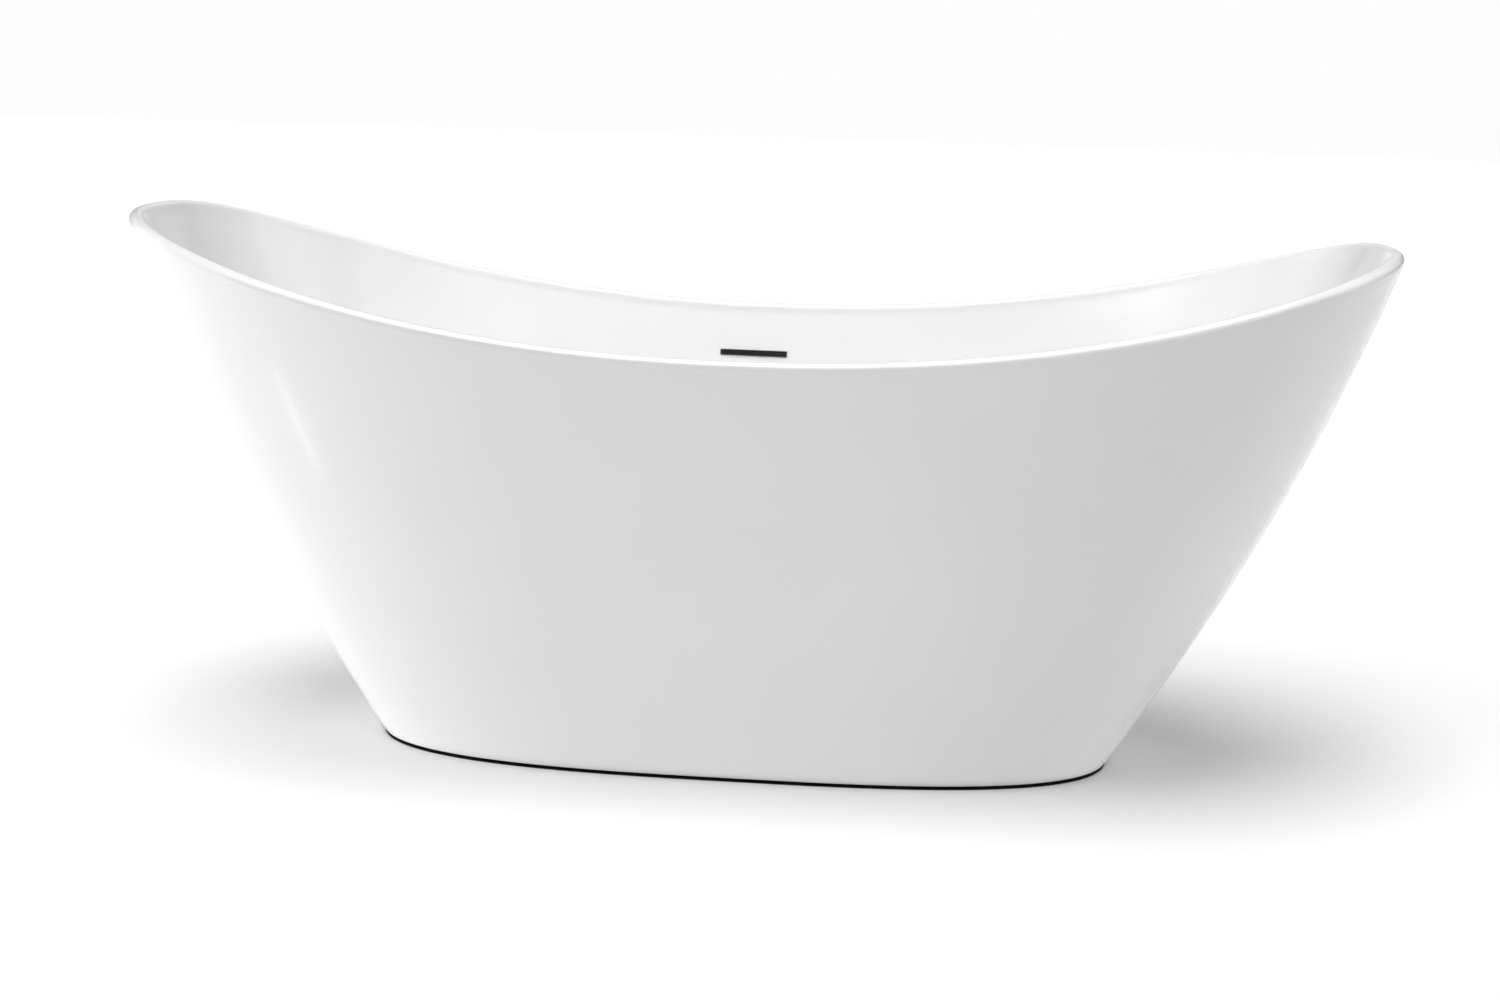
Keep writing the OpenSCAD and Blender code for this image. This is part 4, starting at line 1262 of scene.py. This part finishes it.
class Finish:
    """A principled material with helpers for the procedural detail on it. Texture scales are per metre."""

    def __init__(self, name, color, roughness, metallic=0.0):
        self.material = bpy.data.materials.new(name)
        self.material.use_nodes = True
        self.tree = self.material.node_tree
        self.shader = self.tree.nodes["Principled BSDF"]
        self.shader.inputs["Base Color"].default_value = (*color, 1)
        self.shader.inputs["Roughness"].default_value = roughness
        self.shader.inputs["Metallic"].default_value = metallic
        self.place = self.add("ShaderNodeTexCoord").outputs["Object"]
        self.normal = None

    def add(self, kind, **inputs):
        node = self.tree.nodes.new(kind)
        for name, value in inputs.items():
            self.put(node.inputs[name.replace("_", " ")], value)
        return node

    def put(self, socket, value):
        """Links another node's result to a socket, or sets the socket to a constant."""
        if isinstance(value, bpy.types.NodeSocket):
            self.tree.links.new(value, socket)
        else:
            socket.default_value = value

    def result(self, kind, operation, *sockets):
        """The result of a math node on other nodes' results."""
        node = self.add(kind)
        node.operation = operation
        for i, socket in enumerate(sockets):
            self.tree.links.new(socket, node.inputs[i])
        return node.outputs["Value"]

    def stretched(self, scale):
        return self.add("ShaderNodeMapping", Vector=self.place, Scale=scale).outputs["Vector"]

    def noise(self, scale, detail=3.0, stretch=None):
        place = self.stretched(stretch) if stretch else self.place
        return self.add("ShaderNodeTexNoise", Vector=place, Scale=scale, Detail=detail).outputs["Fac"]

    def cells(self, scale, feature="F1"):
        node = self.add("ShaderNodeTexVoronoi", Vector=self.place, Scale=scale)
        node.feature = feature
        return node.outputs["Distance"]

    def ranged(self, value, low, high, start=0.3, end=0.7):
        """A value's span from start to end, laid over the span from low to high."""
        node = self.add("ShaderNodeMapRange", Value=value, From_Min=start, From_Max=end)
        node.inputs["To Min"].default_value = low
        node.inputs["To Max"].default_value = high
        return node.outputs["Result"]

    def mixed(self, factor, low, high):
        node = self.tree.nodes.new("ShaderNodeMix")
        node.data_type = "RGBA"
        self.put(node.inputs["Factor"], factor)
        # The two colour sockets share their names with other kinds of socket, so they go by number
        for i, color in ((6, low), (7, high)):
            self.put(node.inputs[i], (*color, 1) if isinstance(color, tuple) else color)
        return node.outputs[2]

    def tones(self, value, low, high, start=0.3, end=0.7):
        """Goes from one colour to the other while a value goes from start to end."""
        return self.mixed(self.ranged(value, 0.0, 1.0, start, end), low, high)

    def feed(self, socket, value):
        self.tree.links.new(value, self.shader.inputs[socket])

    def bump(self, height, distance, strength=1.0):
        node = self.add("ShaderNodeBump", Height=height, Distance=distance, Strength=strength)
        if self.normal:
            self.tree.links.new(self.normal, node.inputs["Normal"])
        self.normal = node.outputs["Normal"]
        self.feed("Normal", self.normal)

    def edges(self, radius):
        """1 along sharp edges and 0 on flat faces."""
        soft = self.add("ShaderNodeBevel", Radius=radius).outputs["Normal"]
        flat = self.add("ShaderNodeNewGeometry").outputs["Normal"]
        likeness = self.result("ShaderNodeVectorMath", "DOT_PRODUCT", soft, flat)
        return self.ranged(likeness, 1.0, 0.0, 0.86, 0.99)


def once(build):
    """Makes each material only once."""
    made = {}

    def finish():
        if build.__name__ not in made:
            made[build.__name__] = build().material
        return made[build.__name__]

    return finish


@once
def acrylic():
    """Polished white sanitary acrylic: nearly even, with the faint waviness of a formed sheet."""
    finish = Finish("acrylic", ACRYLIC_WHITE, 0.2)
    cloud = finish.noise(5.0, 2.0)
    finish.feed("Base Color", finish.tones(cloud, ACRYLIC_WHITE, ACRYLIC_SHADE))
    finish.feed("Roughness", finish.ranged(finish.noise(14.0, 4.0), 0.15, 0.24))
    finish.shader.inputs["IOR"].default_value = 1.49
    finish.shader.inputs["Coat Weight"].default_value = 0.25
    finish.shader.inputs["Coat Roughness"].default_value = 0.06
    finish.bump(finish.noise(9.0, 1.0), 0.8 * MM, 0.25)
    finish.bump(finish.noise(420.0, 2.0), 0.02 * MM, 0.3)
    return finish


@once
def glass_fibre():
    """The sprayed resin and chopped glass that backs each shell."""
    finish = Finish("glass_fibre", (0.6, 0.58, 0.47), 0.45)
    strands = finish.noise(130.0, 6.0, (1.0, 0.35, 1.0))
    patches = finish.noise(9.0, 3.0)
    tone = finish.tones(strands, (0.5, 0.47, 0.36), (0.74, 0.72, 0.62))
    finish.feed("Base Color", finish.mixed(finish.ranged(patches, 0.0, 0.5), tone, (0.66, 0.62, 0.46)))
    finish.feed("Roughness", finish.ranged(strands, 0.3, 0.6))
    finish.bump(strands, 0.8 * MM, 0.6)
    finish.bump(finish.cells(60.0), 1.2 * MM, 0.3)
    return finish


@once
def board():
    """Laminated board: a brown film on its faces, and pale and dark plies along its edges."""
    finish = Finish("board", (0.3, 0.17, 0.09), 0.5)
    grain = finish.noise(22.0, 7.0, (0.08, 1.0, 1.0))
    face = finish.tones(grain, (0.33, 0.19, 0.1), (0.2, 0.11, 0.06))
    ply = finish.add("ShaderNodeTexWave", Vector=finish.stretched((0.0, 0.0, 1.0)), Scale=110.0)
    ply.bands_direction = "Z"
    layers = finish.mixed(ply.outputs["Fac"], (0.62, 0.46, 0.28), (0.36, 0.23, 0.12))
    normal = finish.add("ShaderNodeNewGeometry").outputs["Normal"]
    upward = finish.add("ShaderNodeSeparateXYZ", Vector=normal).outputs["Z"]
    level_face = finish.result("ShaderNodeMath", "ABSOLUTE", upward)
    finish.feed("Base Color", finish.tones(level_face, layers, face, 0.5, 0.6))
    finish.feed("Roughness", finish.ranged(grain, 0.38, 0.62))
    finish.bump(grain, 0.3 * MM, 0.5)
    return finish


@once
def frame_paint():
    """Grey powder coat with its orange peel, thin along the edges."""
    finish = Finish("frame_paint", (0.07, 0.075, 0.085), 0.42)
    patches = finish.noise(18.0, 4.0)
    paint = finish.tones(patches, (0.055, 0.06, 0.068), (0.095, 0.1, 0.11))
    chance = finish.ranged(finish.noise(90.0, 5.0), 0.0, 0.8, 0.45, 0.65)
    wear = finish.result("ShaderNodeMath", "MULTIPLY", finish.edges(1.5 * MM), chance)
    finish.feed("Base Color", finish.mixed(wear, paint, (0.34, 0.33, 0.32)))
    finish.feed("Roughness", finish.ranged(patches, 0.34, 0.5))
    finish.bump(finish.noise(520.0, 2.0), 0.12 * MM, 0.5)
    return finish


@once
def zinc_steel():
    """Bright zinc plate: cloudy, drawn along the part, brighter on its edges."""
    finish = Finish("zinc_steel", (0.62, 0.63, 0.66), 0.32, 1.0)
    cloud = finish.noise(160.0, 4.0)
    tone = finish.tones(cloud, (0.5, 0.51, 0.55), (0.7, 0.7, 0.69))
    finish.feed("Base Color", finish.mixed(finish.edges(0.6 * MM), tone, (0.82, 0.82, 0.82)))
    finish.feed("Roughness", finish.ranged(finish.noise(900.0, 3.0, (1.0, 1.0, 0.15)), 0.22, 0.44))
    finish.bump(finish.noise(1400.0, 2.0, (1.0, 1.0, 0.1)), 0.03 * MM, 0.4)
    return finish


@once
def rubber():
    """Black moulded rubber with a dusty bloom."""
    finish = Finish("rubber", (0.018, 0.018, 0.019), 0.7)
    bloom = finish.noise(70.0, 5.0)
    finish.feed("Base Color", finish.tones(bloom, (0.012, 0.012, 0.012), (0.034, 0.033, 0.032)))
    finish.feed("Roughness", finish.ranged(bloom, 0.58, 0.82))
    finish.bump(finish.noise(1100.0, 3.0), 0.08 * MM, 0.5)
    return finish


@once
def chrome():
    """Polished chrome plate with the faintest haze of handling."""
    finish = Finish("chrome", (0.82, 0.83, 0.85), 0.06, 1.0)
    haze = finish.noise(45.0, 6.0)
    finish.feed("Base Color", finish.tones(haze, (0.8, 0.81, 0.83), (0.88, 0.88, 0.89)))
    finish.feed("Roughness", finish.ranged(haze, 0.03, 0.11))
    finish.bump(finish.noise(260.0, 2.0), 0.01 * MM, 0.3)
    return finish


@once
def pipe_plastic():
    """Grey moulded polypropylene with a fine matt texture and paler edges."""
    finish = Finish("pipe_plastic", (0.36, 0.37, 0.39), 0.48)
    flow = finish.noise(40.0, 4.0, (1.0, 1.0, 0.4))
    tone = finish.tones(flow, (0.32, 0.33, 0.35), (0.41, 0.42, 0.44))
    finish.feed("Base Color", finish.mixed(finish.edges(0.8 * MM), tone, (0.5, 0.51, 0.52)))
    finish.feed("Roughness", finish.ranged(flow, 0.4, 0.56))
    finish.bump(finish.noise(1000.0, 2.0), 0.05 * MM, 0.4)
    return finish


@once
def black_plastic():
    """Matt black moulded plastic."""
    finish = Finish("black_plastic", (0.006, 0.006, 0.006), 0.55)
    fine = finish.noise(1500.0, 3.0)
    finish.feed("Base Color", finish.tones(fine, (0.004, 0.004, 0.004), (0.009, 0.009, 0.009)))
    finish.feed("Roughness", finish.ranged(finish.noise(90.0, 3.0), 0.48, 0.66))
    finish.bump(fine, 0.04 * MM, 0.4)
    return finish


FINISHES = {
    "board": board, "frame_paint": frame_paint, "zinc_steel": zinc_steel, "rubber": rubber,
    "chrome": chrome, "pipe_plastic": pipe_plastic, "black_plastic": black_plastic,
}


# ---------------------------------------------------------------- stage, light and camera

# The camera fitted to the photo: metres and radians, with the focal length in sensor widths
CAMERA_AZIMUTH = 0.0817
CAMERA_DISTANCE = 3.0945
CAMERA_HEIGHT = 0.9055
CAMERA_PITCH = 0.1819
CAMERA_ROLL = 0.0312
CAMERA_FOCAL = 1.5034
CAMERA_PAN = 0.0008

# Each soft light: the angle round the tub from +X that it stands at, its height, and its strength
LIGHTS = {
    "right_low": (0, 12, 0.14),
    "right_high": (0, 45, 0.3),
    "left_low": (165, 12, 0.47),
    "back_low": (90, 12, 0.13),
    "left_front": (210, 35, 0.23),
    "right_front": (300, 35, 0.27),
    "back_high": (90, 60, 0.12),
    "left_high": (225, 60, 0.77),
    "front_high": (277, 60, 0.47),
    "top": (0, 90, 1.74),
}
LIGHT_SPREAD = 36
# The light thrown up by the floor, in the same terms
FLOOR_LIGHTS = {
    "floor_right": (0, -25, 1.3),
    "floor_right_back": (30, -25, 0.35),
    "floor_back": (90, -25, 0.4),
    "floor_left_back": (120, -25, 0.3),
    "floor_left": (180, -25, 1.55),
    "floor_left_front": (210, -25, 0.93),
    "floor_front": (240, -60, 1.1),
}
FLOOR_LIGHT_SPREAD = 60
WORLD_GREY = 0.0
# The plain white dome behind the tub, and the floor
BACKDROP_GREY = 0.98
BACKDROP_R = 38
FLOOR_GREY = 0.9
# Two patches of floor under the tub. The shaded one reaches past the skirt's foot by its margin, and the
# dark one, painted shade for the gap below the skirt, stays inside the foot by its own
SHADED_MARGIN = 5 * MM
SHADED_HEIGHT = 0.1 * MM
PAINTED_SHADE_GREY = 0.05
PAINTED_SHADE_MARGIN = 1 * MM
# The strip that leaves a streak of gloss on the skirt: the two ends of its middle line, width and strength
STREAK_NEAR = (-1.05, -0.5, 0.004)
STREAK_FAR = (-1.42, -0.63, 0.004)
STREAK_WIDTH = 0.05
STREAK_STRENGTH = 4


def build_camera():
    data = bpy.data.cameras.new("camera")
    camera = bpy.data.objects.new("camera", data)
    bpy.context.scene.collection.objects.link(camera)
    data.lens = CAMERA_FOCAL * data.sensor_width
    data.clip_end = 200
    yaw = CAMERA_AZIMUTH + CAMERA_PAN
    level = math.cos(CAMERA_PITCH)
    forward = Vector((-math.sin(yaw) * level, math.cos(yaw) * level, -math.sin(CAMERA_PITCH)))
    x = CAMERA_DISTANCE * math.sin(CAMERA_AZIMUTH)
    y = -CAMERA_DISTANCE * math.cos(CAMERA_AZIMUTH)
    camera.location = (x, y, CAMERA_HEIGHT)
    camera.rotation_mode = "QUATERNION"
    roll = Matrix.Rotation(CAMERA_ROLL, 4, "Z").to_quaternion()
    camera.rotation_quaternion = forward.to_track_quat("-Z", "Y") @ roll
    bpy.context.scene.camera = camera


def stage_piece(name, bm, finish):
    mesh = bpy.data.meshes.new(name)
    bm.to_mesh(mesh)
    bm.free()
    piece = bpy.data.objects.new(name, mesh)
    bpy.context.scene.collection.objects.link(piece)
    give(piece, finish)
    return piece


def matt(name, grey):
    finish = Finish(name, (grey, grey, grey), 1.0)
    finish.shader.inputs["Specular IOR Level"].default_value = 0
    return finish


def glow(finish, strength):
    finish.shader.inputs["Emission Color"].default_value = (1, 1, 1, 1)
    finish.shader.inputs["Emission Strength"].default_value = strength


def hide_from(piece, *rays):
    for kind in rays:
        setattr(piece, kind, False)


def build_floor():
    bm = bmesh.new()
    bmesh.ops.create_circle(bm, cap_ends=True, segments=96, radius=BACKDROP_R)
    floor = stage_piece("floor", bm, matt("studio_floor", FLOOR_GREY).material)
    # The low lights stand in for the light that a real studio floor throws up
    hide_from(floor, "visible_diffuse", "visible_shadow")
    # The floor under the tub keeps those lights out of the gap below the skirt, and a near-black patch
    # paints the shade there
    add_footprint("shaded_floor", FLOOR_GREY, -SHADED_MARGIN, SHADED_HEIGHT)
    # Painted shade: a near-black patch just inside the skirt's foot, seen through the gap below it
    add_footprint("painted_shade_floor", PAINTED_SHADE_GREY, PAINTED_SHADE_MARGIN, 2 * SHADED_HEIGHT)


def add_footprint(name, grey, inset, height):
    """A patch of floor with the outline of the skirt's foot."""
    bm = bmesh.new()
    outline = skirt_point(TURNS, np.full(COLUMNS, FLOOR_GAP), inset)
    bm.faces.new([bm.verts.new((x, y, height)) for x, y, _ in outline])
    stage_piece(name, bm, matt(name, grey).material)


def build_streak():
    """A bright strip by the left end, seen only as its streak of gloss on the skirt."""
    near, far = Vector(STREAK_NEAR), Vector(STREAK_FAR)
    across = (far - near).normalized().cross(Vector((0, 0, 1))) * STREAK_WIDTH / 2
    bm = bmesh.new()
    corners = (near - across, far - across, far + across, near + across)
    bm.faces.new([bm.verts.new(point) for point in corners])
    finish = Finish("studio_strip", (0, 0, 0), 1.0)
    glow(finish, STREAK_STRENGTH)
    strip = stage_piece("strip", bm, finish.material)
    hide_from(strip, "visible_camera", "visible_diffuse", "visible_transmission", "visible_shadow")


def build_backdrop():
    """A plain white dome that only the camera sees."""
    bm = bmesh.new()
    bmesh.ops.create_uvsphere(bm, u_segments=48, v_segments=24, radius=BACKDROP_R)
    finish = matt("studio_backdrop", 0)
    glow(finish, BACKDROP_GREY)
    dome = stage_piece("backdrop", bm, finish.material)
    hide_from(dome, "visible_diffuse", "visible_glossy", "visible_transmission", "visible_shadow")


def build_light():
    scene = bpy.context.scene
    scene.view_settings.view_transform = "Standard"
    world = bpy.data.worlds.new("studio")
    scene.world = world
    world.use_nodes = True
    background = world.node_tree.nodes["Background"]
    background.inputs["Color"].default_value = (WORLD_GREY, WORLD_GREY, WORLD_GREY, 1)
    for name, light in LIGHTS.items():
        add_light(name, LIGHT_SPREAD, *light)
    for name, light in FLOOR_LIGHTS.items():
        add_light(name, FLOOR_LIGHT_SPREAD, *light)


def add_light(name, spread, around, height, strength):
    data = bpy.data.lights.new(name, "SUN")
    data.energy = strength
    data.angle = math.radians(spread)
    light = bpy.data.objects.new(name, data)
    bpy.context.scene.collection.objects.link(light)
    around, height = math.radians(around), math.radians(height)
    level = math.cos(height)
    aim = -Vector((math.cos(around) * level, math.sin(around) * level, math.sin(height)))
    light.rotation_mode = "QUATERNION"
    light.rotation_quaternion = aim.to_track_quat("-Z", "Y")


def build_hardware():
    build_rails()
    build_board()
    build_frame_screws()
    build_brackets()
    build_bracket_screws()
    for i in range(1, 5):
        build_stud(i)
        build_pad(i)
    build_bushes_and_nuts()
    build_flange()
    build_gaskets()
    build_cap()
    build_seal()
    build_stem()
    build_guide()
    build_spring()
    build_waste_body()
    build_slip_nut()
    build_outlet()
    build_grille()
    build_overflow_gasket()
    build_overflow_box()
    build_hose()
    build_clamps()


build_camera()
build_basin()
build_skirt()
build_hardware()
build_floor()
build_backdrop()
build_streak()
build_light()
